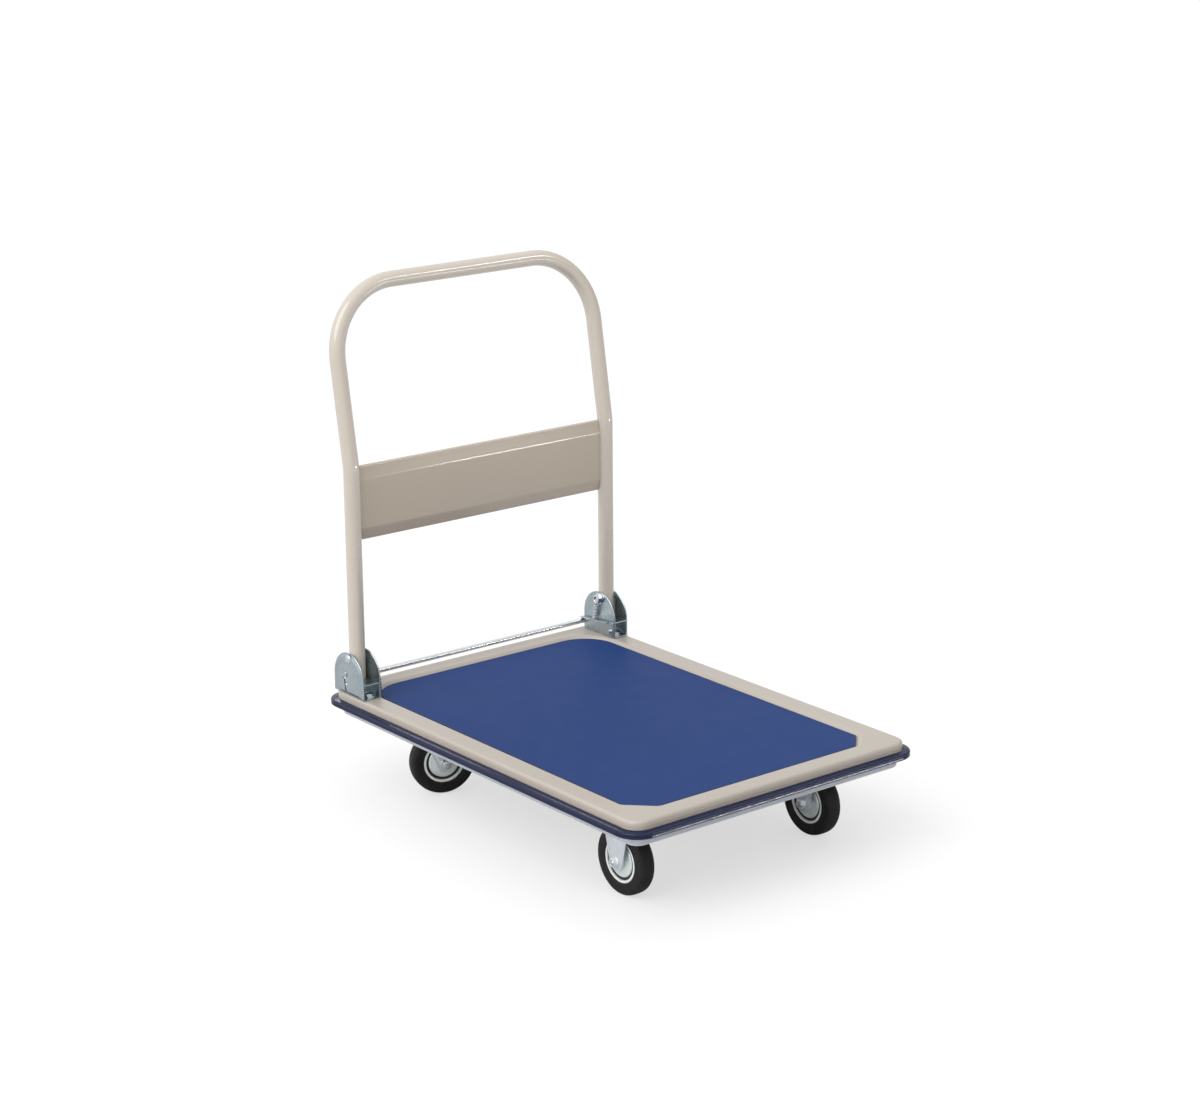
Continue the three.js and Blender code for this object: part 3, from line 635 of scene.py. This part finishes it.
def handle_board():
    """A folded sheet between the legs: bands lean back along its top and bottom, and both edges turn in."""
    front, rear = 306.2, 316.8
    low, high = 390.2, 501.3
    points = [(rear, low), (front + 3.6, low), (front, low + 17)]
    points += [(front, high - 19.4), (front + 3.4, high), (rear, high)]
    outer = [points[0]]
    radii = (2.6, 22, 22, 2.6)
    for before, corner, after, radius in zip(points, points[1:], points[2:], radii):
        outer += fillet([before, corner, after], radius, 6)[1:-1]
    outer.append(points[-1])
    section = outer + list(reversed(offset_loop(outer, -1.5, closed=False)))
    bm = bmesh.new()
    reach = LEG_X - 7
    extrude_along_x(bm, section, -reach, reach)
    even_normals(piece("handle_board", bm, PANEL_PAINT, "handle", ["handle_panel"]))


def handle_welds():
    bm = bmesh.new()
    for side in (-1, 1):
        x = side * (LEG_X - 12.4)
        weld_bead(bm, (x, 309.2, 410), (x, 309.2, 430), 1.5, side)
        weld_bead(bm, (x, 309.2, 462), (x, 309.2, 482), 1.5, side + 3)
        for z in (391, 500.5):
            weld_bead(bm, (x, 311.5, z), (x, 316, z), 1.2, side + z)
    piece("handle_welds", bm, TUBE_PAINT, "handle", smooth=60)


def leg_plugs():
    profile = [(9.2, 0), (10.4, 0.5), (11.3, 1.4), (11.3, 2.0), (9.3, 2.3), (9.3, 9)]
    for name, side in SIDES:
        bm = bmesh.new()
        place = Matrix.Translation((side * LEG_X, LEG_Y, LEG_BOTTOM - 2.3))
        lathe(bm, profile, 32, place, caps=(True, True))
        node = "leg_plug_" + name
        piece("plug_" + name, bm, PLUG_BLACK, "handle", [node])


# ---- Brackets ----


def arch():
    """A cheek's outline in Y and Z, counter-clockwise."""
    points = [(LEG_Y - CHEEK_RADIUS + 1.5, FOOT_Z), (LEG_Y + CHEEK_RADIUS - 1.5, FOOT_Z)]
    points += [(LEG_Y + CHEEK_RADIUS, FOOT_Z + 1.5)]
    points += arc(LEG_Y, ARCH_Z, CHEEK_RADIUS, 0, 180, 36)
    points += [(LEG_Y - CHEEK_RADIUS, FOOT_Z + 1.5)]
    return points


def across(side, x):
    """Places a sheet outline in Y and Z with its thickness outwards from x, on that side of the cart."""
    return lambda u, v, w: (side * (x + w), u, v)


LUG = [(-8, 182), (-8, 180), (-4.6, 179), (-1.7, 160.5), (1.7, 160.5), (4.6, 179), (8, 180), (8, 182)]
LUG_Y = 317.0
CHEEK_SHIFT, CHEEK_DROP = 3.5, 3.5
STOP_REAR, STOP_Z = 295.0, 180.0


def cast(loop, centre, turns):
    """Where rays from a centre inside a loop meet it, one for each turn."""
    made = []
    middle = Vector(centre)
    for turn in turns:
        ray = Vector((math.cos(turn), math.sin(turn)))
        best = None
        for a, b in zip(loop, loop[1:] + loop[:1]):
            a, side = Vector(a) - middle, Vector(b) - Vector(a)
            cross = ray.x * side.y - ray.y * side.x
            if abs(cross) < 1e-9:
                continue
            reach = (a.x * side.y - a.y * side.x) / cross
            share = (a.x * ray.y - a.y * ray.x) / cross
            if reach > 0 and -1e-6 <= share <= 1 + 1e-6:
                best = reach if best is None else max(best, reach)
        made.append(tuple(middle + ray * best))
    return made


def opened_cheek(bm, side):
    """The outer cheek: a sheet pressed out in the middle, with a lug's opening punched through it."""
    centre = (LUG_Y, 179.4)
    hole = [(LUG_Y + y, z) for y, z in LUG]
    outline = [(y + CHEEK_SHIFT, z - CHEEK_DROP * (z > 180)) for y, z in arch()]
    turns = {round(math.atan2(z - centre[1], y - centre[0]), 4) for y, z in hole + outline}
    turns |= {round(math.radians(a), 4) for a in range(-180, 180, 5)}
    turns = sorted(turns)
    opening = cast(hole, centre, turns)
    place = across(side, CHEEK_OUT - SHEET)
    rise, bevel = 2.2, 0.6

    def ring(inset, w):
        return [place(u, v, w) for u, v in cast(offset_loop(outline, inset), centre, turns)]

    slope = [(1.2 + 5 * t, rise * t * t * (3 - 2 * t)) for t in (0, 0.25, 0.5, 0.75, 1)]
    rings = [[place(u, v, rise) for u, v in opening]]
    rings += [ring(inset, lift) for inset, lift in reversed(slope)]
    rings += [ring(bevel, 0), ring(0, bevel), ring(0, SHEET - bevel), ring(bevel, SHEET)]
    rings += [ring(inset, SHEET + lift) for inset, lift in slope]
    rings += [[place(u, v, SHEET + rise) for u, v in opening]]
    loft(bm, rings, round_trip=True)


def brackets():
    for name, side in SIDES:
        bm = bmesh.new()
        opened_cheek(bm, side)
        even_normals(piece("cheek_outer_" + name, bm, PLATE_ZINC, "deck", ["bracket_" + name]))
        bm = bmesh.new()
        pressed_plate(bm, arch(), SHEET, across(side, CHEEK_IN))
        x0, x1 = CHEEK_IN + 1.6, CHEEK_OUT - 1.6
        y0, y1 = LEG_Y - CHEEK_RADIUS + 0.5, LEG_Y + CHEEK_RADIUS - 0.5
        for rear, low, bevel in ((y1, FOOT_Z, 0.5), (STOP_REAR, STOP_Z, 0.7)):
            corners = [(x0, y0), (x1, y0), (x1, rear), (x0, rear)]
            outline = corners if side > 0 else list(reversed(corners))
            pressed_plate(bm, outline, SHEET, lambda u, v, w: (side * u, v, low + w), bevel=bevel)
        tab = [(313.4, 183.6), (320.6, 183.6), (320.2, 190.4), (318.8, 191.6), (315.2, 191.6), (313.8, 190.4)]
        pressed_plate(bm, tab, 1.8, across(side, CHEEK_OUT + 1.9), bevel=0.6)
        even_normals(piece("cheek_inner_" + name, bm, PLATE_ZINC, "deck"))


def along_x(side, x, y, z):
    """Turns +Z to point outwards along X on that side, with its foot at (x, y, z)."""
    turn = Matrix.Rotation(side * math.pi / 2, 4, "Y")
    return Matrix.Translation((x, y, z)) @ turn


def pivots():
    head = [(6.6, 0), (6.8, 0.5), (6.5, 1.3), (5.6, 2.3), (4.2, 3.1), (2.6, 3.6), (1.0, 3.8)]
    collar = [(4.4, 0.2), (4.4, 1.4), (9.2, 1.4), (9.6, 1.1), (9.6, 0.5), (9.2, 0.2)]
    for name, side in SIDES:
        bm = bmesh.new()
        lathe(bm, head, 40, along_x(side, side * (CHEEK_OUT + 1.6), LEG_Y, PIVOT_Z), caps=(True, True))
        shank = [(4, 0), (4, 34.5), (3.4, 35.4)]
        start = side * (CHEEK_OUT + 1.4)
        lathe(bm, shank, 24, along_x(-side, start, LEG_Y, PIVOT_Z), caps=(True, True))
        node = "pivot_bolt_" + name
        piece("pin_pivot_" + name, bm, FASTENER_ZINC, "deck", [node])
        bm = bmesh.new()
        lathe(bm, collar, 32, along_x(-side, side * CHEEK_IN, LEG_Y, PIVOT_Z), round_trip=True)
        seat = along_x(-side, side * (CHEEK_IN - 1.5), LEG_Y, PIVOT_Z)
        hexagon(bm, M8_ACROSS, 5.4, seat @ Matrix.Rotation(0.35, 4, "Z"), bore=4.1)
        node = "pivot_nut_" + name
        piece("nut_pivot_" + name, bm, FASTENER_ZINC, "deck", [node])
        bm = bmesh.new()
        seat = Matrix.Translation((side * 234, 283, FOOT_Z + SHEET))
        washer(bm, seat, 8, 8.3, 1.2, 32, 0.1)
        hexagon(bm, M8_ACROSS, 4.6, seat @ Matrix.Translation((0, 0, 1.2)))
        node = "bracket_bolt_" + name
        piece("bolt_bracket_" + name, bm, FASTENER_ZINC, "deck", [node])


# ---- Release ----


def release():
    bm = bmesh.new()
    reach = CHEEK_IN - 2.6
    bar = [(3.2, -reach), (BAR_RADIUS, 0.8 - reach), (BAR_RADIUS, reach - 0.8), (3.2, reach)]
    lathe(bm, bar, 32, along_x(1, 0, BAR_Y, BAR_Z), caps=(True, True))
    piece("press_bar", bm, BAR_ZINC, "release", ["release_bar"])
    web = [(271.5, 161), (273, 160), (349, 164.6), (351, 166.4)]
    web += [(351, 174), (349, 175.6), (273, 182), (271.5, 181)]
    for name, side in SIDES:
        bm = bmesh.new()
        pressed_plate(bm, web, SHEET, across(side, CHEEK_IN - 2.3), bevel=0.5)
        ledge = [(280, 180.2), (347, 174.6), (347, 176.2), (280, 181.8)]
        pressed_plate(bm, ledge, 6, across(side, CHEEK_IN - 8.3), bevel=0.4)
        finger = [(322, 169.9), (342, 169.9), (342, 171.7), (322, 171.7)]
        pressed_plate(bm, finger, 26, across(side, CHEEK_IN - 1), bevel=0.3)
        node = "release_arm_" + name
        even_normals(piece("press_arm_" + name, bm, PLATE_ZINC, "release", [node]))
        bm = bmesh.new()
        seat = along_x(-side, side * (CHEEK_IN - 2.6), 277, 167)
        lathe(bm, [(4, 0), (4.1, 0.6), (3.6, 1.5), (2.2, 2.1)], 24, seat, caps=(True, True))
        node = "release_pin_" + name
        piece("rivet_arm_" + name, bm, FASTENER_ZINC, "deck", [node])


def springs():
    """A coil hooked over the pivot's end above and on the arm's ledge below."""
    top, foot = Vector((217.0, 309.2, 205.5)), Vector((217.0, 316.4, 178.6))
    for name, side in SIDES:
        axis = (foot - top).normalized()
        out = Vector((1, 0, 0))
        out = (out - axis * out.dot(axis)).normalized()
        across_axis = axis.cross(out)
        turns, steps, radius = 9, 16, 3.1
        path = [top + Vector((0, -1.5, 5)), top + Vector((0.5, 0.5, 2.5))]
        for i in range(turns * steps + 1):
            a = 2 * math.pi * i / steps
            along = top.lerp(foot, 0.06 + 0.88 * i / (turns * steps))
            path.append(along + out * (radius * math.cos(a)) + across_axis * (radius * math.sin(a)))
        path += [foot + Vector((0.5, -0.3, 0.2)), foot + Vector((0, 0.6, -3.2))]
        bm = bmesh.new()
        sweep(bm, [(side * p[0], p[1], p[2]) for p in path], 0.75, 8)
        coil = piece("coil_" + name, bm, SPRING_WIRE, None, smooth=60)
        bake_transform(coil)
        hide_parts("release_spring_" + name)


# ---- Casters ----


def tangent_turn(point, centre, radius, turn):
    """Where a line from a point touches a circle, in degrees round it. turn picks one of the two lines."""
    dy, dz = point[0] - centre[0], point[1] - centre[1]
    return math.degrees(math.atan2(dz, dy) + turn * math.acos(radius / math.hypot(dy, dz)))


def fork_outline(top, half, trail):
    """A leg's outline. A trailing leg is cut away in front, under its shoulder."""
    hub = (trail, WHEEL_RADIUS)
    front = [(-half, top), (-half, FORK_SHOULDER)] + ([(trail - 27, 79.0)] if trail else [])
    rear = [(half, FORK_SHOULDER), (half, top)]
    a = tangent_turn(front[-1], hub, FORK_END, 1)
    b = tangent_turn(rear[0], hub, FORK_END, -1) + 360
    points = [(-half, top)] + fillet(front + [arc(*hub, FORK_END, a, a, 1)[0]], 14)[1:-1]
    points += arc(*hub, FORK_END, a, b, 20)
    points += fillet([arc(*hub, FORK_END, b, b, 1)[0]] + rear, 14)[1:-1]
    return points + [(half, top)]


def flat_plate(bm, outline, thickness, low):
    """A level sheet, its underside at height low."""
    pressed_plate(bm, outline, thickness, lambda u, v, w: (u, v, low + w))


def fork_sides(bm, top, half, trail):
    for side in (-1, 1):
        outline = fork_outline(top, half, trail)
        pressed_plate(bm, outline, FORK_SHEET, across(side, FORK_IN), rise=1.2, land=3.2, slope=3.2)


def rib(bm, side, start, end, width, height):
    """A pressed leaf-shaped rib on a fork's side."""
    a, b = Vector((0, *start)), Vector((0, *end))
    axis = (b - a).normalized()
    wide = Vector((1, 0, 0)).cross(axis)
    x = side * (FORK_IN + FORK_SHEET + 1.0)
    rings = []
    for i in range(1, 12):
        t = i / 12
        half = width * math.sin(math.pi * t) ** 0.8
        middle = a.lerp(b, t)
        ring = []
        for k in range(12):
            c = 2 * math.pi * k / 12
            p = middle + wide * (half * math.cos(c))
            ring.append((x + side * height * math.sin(math.pi * t) * math.sin(c), p.y, p.z))
        rings.append(ring)
    loft(bm, rings, caps=(True, True))


def plate_bolts(place, caster, reach):
    """The four bolts that hold a caster's plate to its channel, with washers."""
    bm = bmesh.new()
    low = PLATE_TOP - PLATE_SHEET
    for x in (-1, 1):
        for y in (-1, 1):
            spot = Matrix.Translation((x * PLATE_BOLT_X, y * PLATE_BOLT_Y, low))
            seat = spot @ Matrix.Rotation(math.pi, 4, "X")
            washer(bm, seat, 8, 8.4, 1.4)
            turn = Matrix.Rotation(0.3 + x + 2 * y, 4, "Z")
            hexagon(bm, M8_ACROSS, 5.2, seat @ Matrix.Translation((0, 0, 1.4)) @ turn)
            lathe(bm, [(4, 6), (4, reach), (3.3, reach + 0.6)], 20, seat, caps=(True, True))
    moved(bm, caster)
    piece("plate_bolts_" + place, bm, FASTENER_ZINC, "deck")


def rectangle(half_x, half_y, radius):
    """A rectangle with rounded corners, counter-clockwise."""
    return (
        arc(half_x - radius, radius - half_y, radius, -90, 0, 5)
        + arc(half_x - radius, half_y - radius, radius, 0, 90, 5)
        + arc(radius - half_x, half_y - radius, radius, 90, 180, 5)
        + arc(radius - half_x, radius - half_y, radius, 180, 270, 5)
    )


def caster_plate(bm):
    outline = rectangle(PLATE_HALF_X, PLATE_HALF_Y, PLATE_CORNER)
    flat_plate(bm, outline, PLATE_SHEET, PLATE_TOP - PLATE_SHEET)


def wheel(place, body, matrix):
    """Tyre, moulded centre, black seals and pressed covers, turned about the axle."""
    spin = matrix @ Matrix.Rotation(math.pi / 2, 4, "Y")
    half = [(31.8, 10.4), (32.2, 11.3), (33.2, 11.9), (35.6, 12.2), (36.1, 11.8), (36.6, 12.3), (40, 12.5)]
    half += [(44.2, 12.4), (46.2, 11.9), (47.9, 10.8), (49.1, 9.0), (49.7, 6.6), (49.95, 3.4), (50.0, 1.0)]
    profile = half + [(r, -h) for r, h in reversed(half)]
    bm = bmesh.new()
    lathe(bm, profile, 96, spin, round_trip=True)
    even_normals(piece("tread_" + place, bm, RUBBER, body, ["tyre_" + place], 60))
    half = [(6.6, 14.3), (9.6, 14.3), (10, 13.9), (10, 9.0), (24.4, 8.0), (24.9, 6.4), (27.6, 6.4)]
    half += [(28.0, 10.2), (28.5, 11.0), (31.0, 11.0), (31.7, 10.4), (31.7, 9.6)]
    profile = half + [(r, -h) for r, h in reversed(half)]
    bm = bmesh.new()
    lathe(bm, profile, 72, spin, round_trip=True)
    even_normals(piece("centre_" + place, bm, RIM_WHITE, body, ["rim_" + place], 45))
    seals, covers = bmesh.new(), bmesh.new()
    for side in (-1, 1):
        flip = spin @ Matrix.Scale(side, 4, (0, 0, 1))
        ring = [(24.2, 8.6), (24.6, 9.2), (26, 9.5), (27.4, 9.2), (27.9, 8.4), (27.9, 6.5), (24.2, 6.5)]
        lathe(seals, ring, 64, flip, round_trip=True)
        dish = [(10.1, 8.1), (10.1, 10.6), (11, 11.0), (13.2, 10.7), (15, 9.9), (20.5, 9.9), (22.4, 9.7)]
        dish += [(23.6, 9.2), (24.1, 8.3), (24.1, 7.9)]
        lathe(covers, dish, 64, flip, round_trip=True)
    piece("seals_" + place, seals, SEAL_BLACK, body)
    piece("covers_" + place, covers, COVER_ZINC, body, smooth=50)


def axle(place, body, matrix):
    """The bolt, its nut and the bush that the wheel turns on, along X through the fork."""
    outer = FORK_IN + FORK_SHEET + 1.2
    bm = bmesh.new()
    head = matrix @ along_x(1, outer, 0, 0)
    washer(bm, head, 8.2, 8.5, 1.3)
    hexagon(bm, M8_ACROSS, 4.8, head @ Matrix.Translation((0, 0, 1.3)) @ Matrix.Rotation(0.4, 4, "Z"))
    shank = [(4, 0), (4, 2 * outer + 6.6), (3.3, 2 * outer + 7.2)]
    lathe(bm, shank, 24, matrix @ along_x(-1, outer + 1, 0, 0), caps=(True, True))
    node = "axle_bolt_" + place
    piece("bolt_" + place, bm, FASTENER_ZINC, body, [node])
    bm = bmesh.new()
    seat = matrix @ along_x(-1, -outer, 0, 0)
    washer(bm, seat, 8.2, 8.5, 1.3)
    hexagon(bm, 12, 4.2, seat @ Matrix.Translation((0, 0, 1.3)), bore=4.1)
    node = "axle_nut_" + place
    piece("nut_" + place, bm, CASTER_ZINC, body, [node])
    bm = bmesh.new()
    reach = FORK_IN - 0.3
    profile = [(4.3, -reach), (5.7, -reach), (6, 0.3 - reach), (6, reach - 0.3), (5.7, reach), (4.3, reach)]
    lathe(bm, profile, 28, matrix @ Matrix.Rotation(math.pi / 2, 4, "Y"), round_trip=True)
    node = "axle_bush_" + place
    piece("bush_" + place, bm, FASTENER_ZINC, body, [node])


def fixed_casters():
    for name, side in SIDES:
        place = "front_" + name
        seat = Matrix.Translation((side * CASTER_X, -CASTER_Y, 0))
        bm = bmesh.new()
        fork_sides(bm, PLATE_TOP - 1, 27, 0)
        for end in (-1, 1):
            rib(bm, end, (3, 98), (-3, 64), 3.2, 0.9)
        caster_plate(bm)
        moved(bm, seat)
        even_normals(piece("bracket_" + place, bm, CASTER_ZINC, "deck", ["fork_" + place]))
        plate_bolts(place, seat, 8.0)
        hub = seat @ Matrix.Translation((0, 0, WHEEL_RADIUS))
        wheel(place, "wheel_" + place, hub)
        axle(place, "deck", hub)


def swivel_casters():
    for name, side in SIDES:
        place = "rear_" + name
        seat = Matrix.Translation((side * CASTER_X, CASTER_Y, 0))
        bm = bmesh.new()
        caster_plate(bm)
        moved(bm, seat)
        node = "top_plate_" + place
        even_normals(piece("plate_" + place, bm, CASTER_ZINC, "deck", [node]))
        plate_bolts(place, seat, 6.5)
        bm = bmesh.new()
        cup = [(6, 126), (22.6, 126), (23.8, 125), (24, 123.6), (23.4, 121.6), (21.6, 119.6)]
        cup += [(20, 117.8), (6, 117.6)]
        lathe(bm, cup, 48, seat, round_trip=True)
        node = "swivel_race_" + place
        piece("race_" + place, bm, CASTER_ZINC, "deck", [node])
        bm = bmesh.new()
        flip = seat @ Matrix.Translation((0, 0, 114)) @ Matrix.Rotation(math.pi, 4, "X")
        lathe(bm, [(9, 0), (9, 0.6), (8.3, 2.2), (6.4, 3.6), (3.6, 4.2)], 32, flip, caps=(True, True))
        node = "kingpin_" + place
        piece("rivet_" + place, bm, FASTENER_ZINC, "deck", [node])
        turned = seat @ Matrix.Rotation(PARKED_TURN, 4, "Z")
        body = "swivel_" + name
        bm = bmesh.new()
        fork_sides(bm, 115, 23, TRAIL)
        crown = rectangle(FORK_IN + FORK_SHEET, 25, 7)
        flat_plate(bm, crown, FORK_SHEET, 114.5)
        moved(bm, turned)
        node = "fork_" + place
        even_normals(piece("legs_" + place, bm, CASTER_ZINC, body, [node]))
        hub = turned @ Matrix.Translation((0, TRAIL, WHEEL_RADIUS))
        wheel(place, "wheel_" + place, hub)
        axle(place, body, hub)


# ---- Stage: floor, light and camera ----


def mapped(tree, source, numbers, smooth=False):
    """Maps from_min..from_max onto to_min..to_max, given as those four numbers."""
    node = tree.nodes.new("ShaderNodeMapRange")
    if smooth:
        node.interpolation_type = "SMOOTHSTEP"
    for key, number in zip(("From Min", "From Max", "To Min", "To Max"), numbers):
        node.inputs[key].default_value = number
    tree.links.new(source, node.inputs["Value"])
    return node.outputs["Result"]


def camera_ray(tree):
    return tree.nodes.new("ShaderNodeLightPath").outputs["Is Camera Ray"]


def floor():
    """A floor seen from above only. It is near white to the camera and a duller grey in the light that it
    throws back, so the cart keeps its shading."""
    bm = bmesh.new()
    bmesh.ops.create_grid(bm, x_segments=4, y_segments=4, size=40)
    mesh = bpy.data.meshes.new("floor")
    bm.to_mesh(mesh)
    bm.free()
    material = bpy.data.materials.new("floor")
    material.use_nodes = True
    tree = material.node_tree
    shader = tree.nodes["Principled BSDF"]
    shader.inputs["Roughness"].default_value = 0.9
    shader.inputs["Specular IOR Level"].default_value = 0.0
    seen = camera_ray(tree)
    for key, dull, bright in (("Base Color", 0.66, 0.36), ("Emission Strength", 0.0, 0.6)):
        tree.links.new(mapped(tree, seen, (0, 1, dull, bright)), shader.inputs[key])
    clear = tree.nodes.new("ShaderNodeBsdfTransparent")
    both = tree.nodes.new("ShaderNodeMixShader")
    tree.links.new(tree.nodes.new("ShaderNodeNewGeometry").outputs["Backfacing"], both.inputs["Fac"])
    tree.links.new(shader.outputs["BSDF"], both.inputs[1])
    tree.links.new(clear.outputs["BSDF"], both.inputs[2])
    tree.links.new(both.outputs["Shader"], tree.nodes["Material Output"].inputs["Surface"])
    mesh.materials.append(material)
    obj = bpy.data.objects.new("floor", mesh)
    bpy.context.scene.collection.objects.link(obj)


def sky():
    """A soft room: bright above and to the left, dim in front and to the right, with a glow low behind on the
    right. The camera sees it plain white."""
    world = bpy.data.worlds.new("studio")
    bpy.context.scene.world = world
    world.use_nodes = True
    tree = world.node_tree
    background = tree.nodes["Background"]
    background.inputs["Color"].default_value = (1, 1, 1, 1)
    place = tree.nodes.new("ShaderNodeTexCoord").outputs["Generated"]

    def towards(direction, numbers):
        """Maps how nearly a ray points in a direction, from -1 to 1, onto a strength."""
        dot = tree.nodes.new("ShaderNodeVectorMath")
        dot.operation = "DOT_PRODUCT"
        dot.inputs[1].default_value = Vector(direction).normalized()
        tree.links.new(place, dot.inputs[0])
        return mapped(tree, dot.outputs["Value"], numbers, smooth=True)

    both = tree.nodes.new("ShaderNodeMath")
    tree.links.new(towards((-0.62, 0.22, 0.76), (-0.6, 0.7, 0.36, 1.05)), both.inputs[0])
    tree.links.new(towards((0.62, 0.74, -0.25), (0.8, 0.98, 0.0, 0.6)), both.inputs[1])
    backdrop = tree.nodes.new("ShaderNodeMix")
    backdrop.inputs["B"].default_value = 1.0
    tree.links.new(camera_ray(tree), backdrop.inputs["Factor"])
    tree.links.new(both.outputs["Value"], backdrop.inputs["A"])
    tree.links.new(backdrop.outputs["Result"], background.inputs["Strength"])


def lamp(name, kind, energy, direction, place, **values):
    """A light at a place, shining back along a direction and unseen by the camera."""
    data = bpy.data.lights.new(name, kind)
    data.energy = energy
    for key, value in values.items():
        setattr(data, key, value)
    obj = bpy.data.objects.new(name, data)
    bpy.context.scene.collection.objects.link(obj)
    obj.location = place
    obj.rotation_mode = "QUATERNION"
    obj.rotation_quaternion = Vector(direction).normalized().to_track_quat("Z", "Y")
    obj.visible_camera = False
    return obj


def softbox(name, energy, target, direction, distance, size_x, size_y):
    """A narrow softbox aimed at one part of the cart, to draw a streak along it."""
    way = Vector(direction).normalized()
    place = Vector(target) + way * distance
    values = {"shape": "RECTANGLE", "size": size_x, "size_y": size_y, "spread": math.radians(30)}
    return lamp(name, "AREA", energy, way, place, **values)


def shine_only_on(light, obj):
    """Keeps a light off everything but one object."""
    lit = bpy.data.collections.new(light.name)
    lit.objects.link(obj)
    light.light_linking.receiver_collection = lit


def edge_lights(trim):
    """The trim's own lights: one hung behind on the right for its left lip, one in front for its bead."""
    above = (0.63, 1.67, 1.24)
    lip = lamp("lip_streak", "AREA", 6.0, (0, 0, 1), above, shape="RECTANGLE", size=0.3, size_y=1.3)
    shine_only_on(lip, trim)
    front = softbox("bead_streak", 0.4, (0, -0.37, 0.136), (0.596, -0.803, 0.02), 2.4, 1.0, 0.12)
    shine_only_on(front, trim)


CAMERA_PLACE = (-2.4143, -3.0190, 1.5212)
CAMERA_TURN = (-38.41, 16.30, -0.43)
LENS = 84.4


def camera():
    """Stands at the front left, level with a raised hand, and looks at the cart with a long lens. Its turn is
    the azimuth, elevation and roll in degrees."""
    azimuth, elevation, roll = (math.radians(a) for a in CAMERA_TURN)
    sa, ca, se, ce = math.sin(azimuth), math.cos(azimuth), math.sin(elevation), math.cos(elevation)
    back = Vector((sa * ce, -ca * ce, se))
    right = Vector((ca, sa, 0))
    up = back.cross(right)
    x_axis = math.cos(roll) * right + math.sin(roll) * up
    y_axis = -math.sin(roll) * right + math.cos(roll) * up
    data = bpy.data.cameras.new("camera")
    data.sensor_width = 36
    data.sensor_fit = "HORIZONTAL"
    data.lens = LENS
    data.clip_end = 200
    obj = bpy.data.objects.new("camera", data)
    bpy.context.scene.collection.objects.link(obj)
    turn = Matrix((x_axis, y_axis, back)).transposed().to_4x4()
    obj.matrix_world = Matrix.Translation(CAMERA_PLACE) @ turn
    bpy.context.scene.camera = obj


deck_shell()
deck_mat()
TRIM = trim_strip()
frame_rail()
cross_members()
frame_welds()
handle_frame()
handle_board()
handle_welds()
leg_plugs()
brackets()
pivots()
release()
springs()
fixed_casters()
swivel_casters()
floor()
sky()
lamp("key", "SUN", 1.4, (-0.8, -0.1, 0.8), (0, 0, 4), angle=math.radians(50))
softbox("panel_streak", 0.075, (0, 0.307, 0.484), (0.6, -0.8, -0.06), 1.6, 0.32, 0.05)
softbox("grip_streak", 0.2, (0, 0.27, 0.761), (0.596, -0.688, 0.423), 1.6, 0.9, 0.08)
edge_lights(TRIM)
camera()
bpy.context.scene.view_settings.view_transform = "Standard"
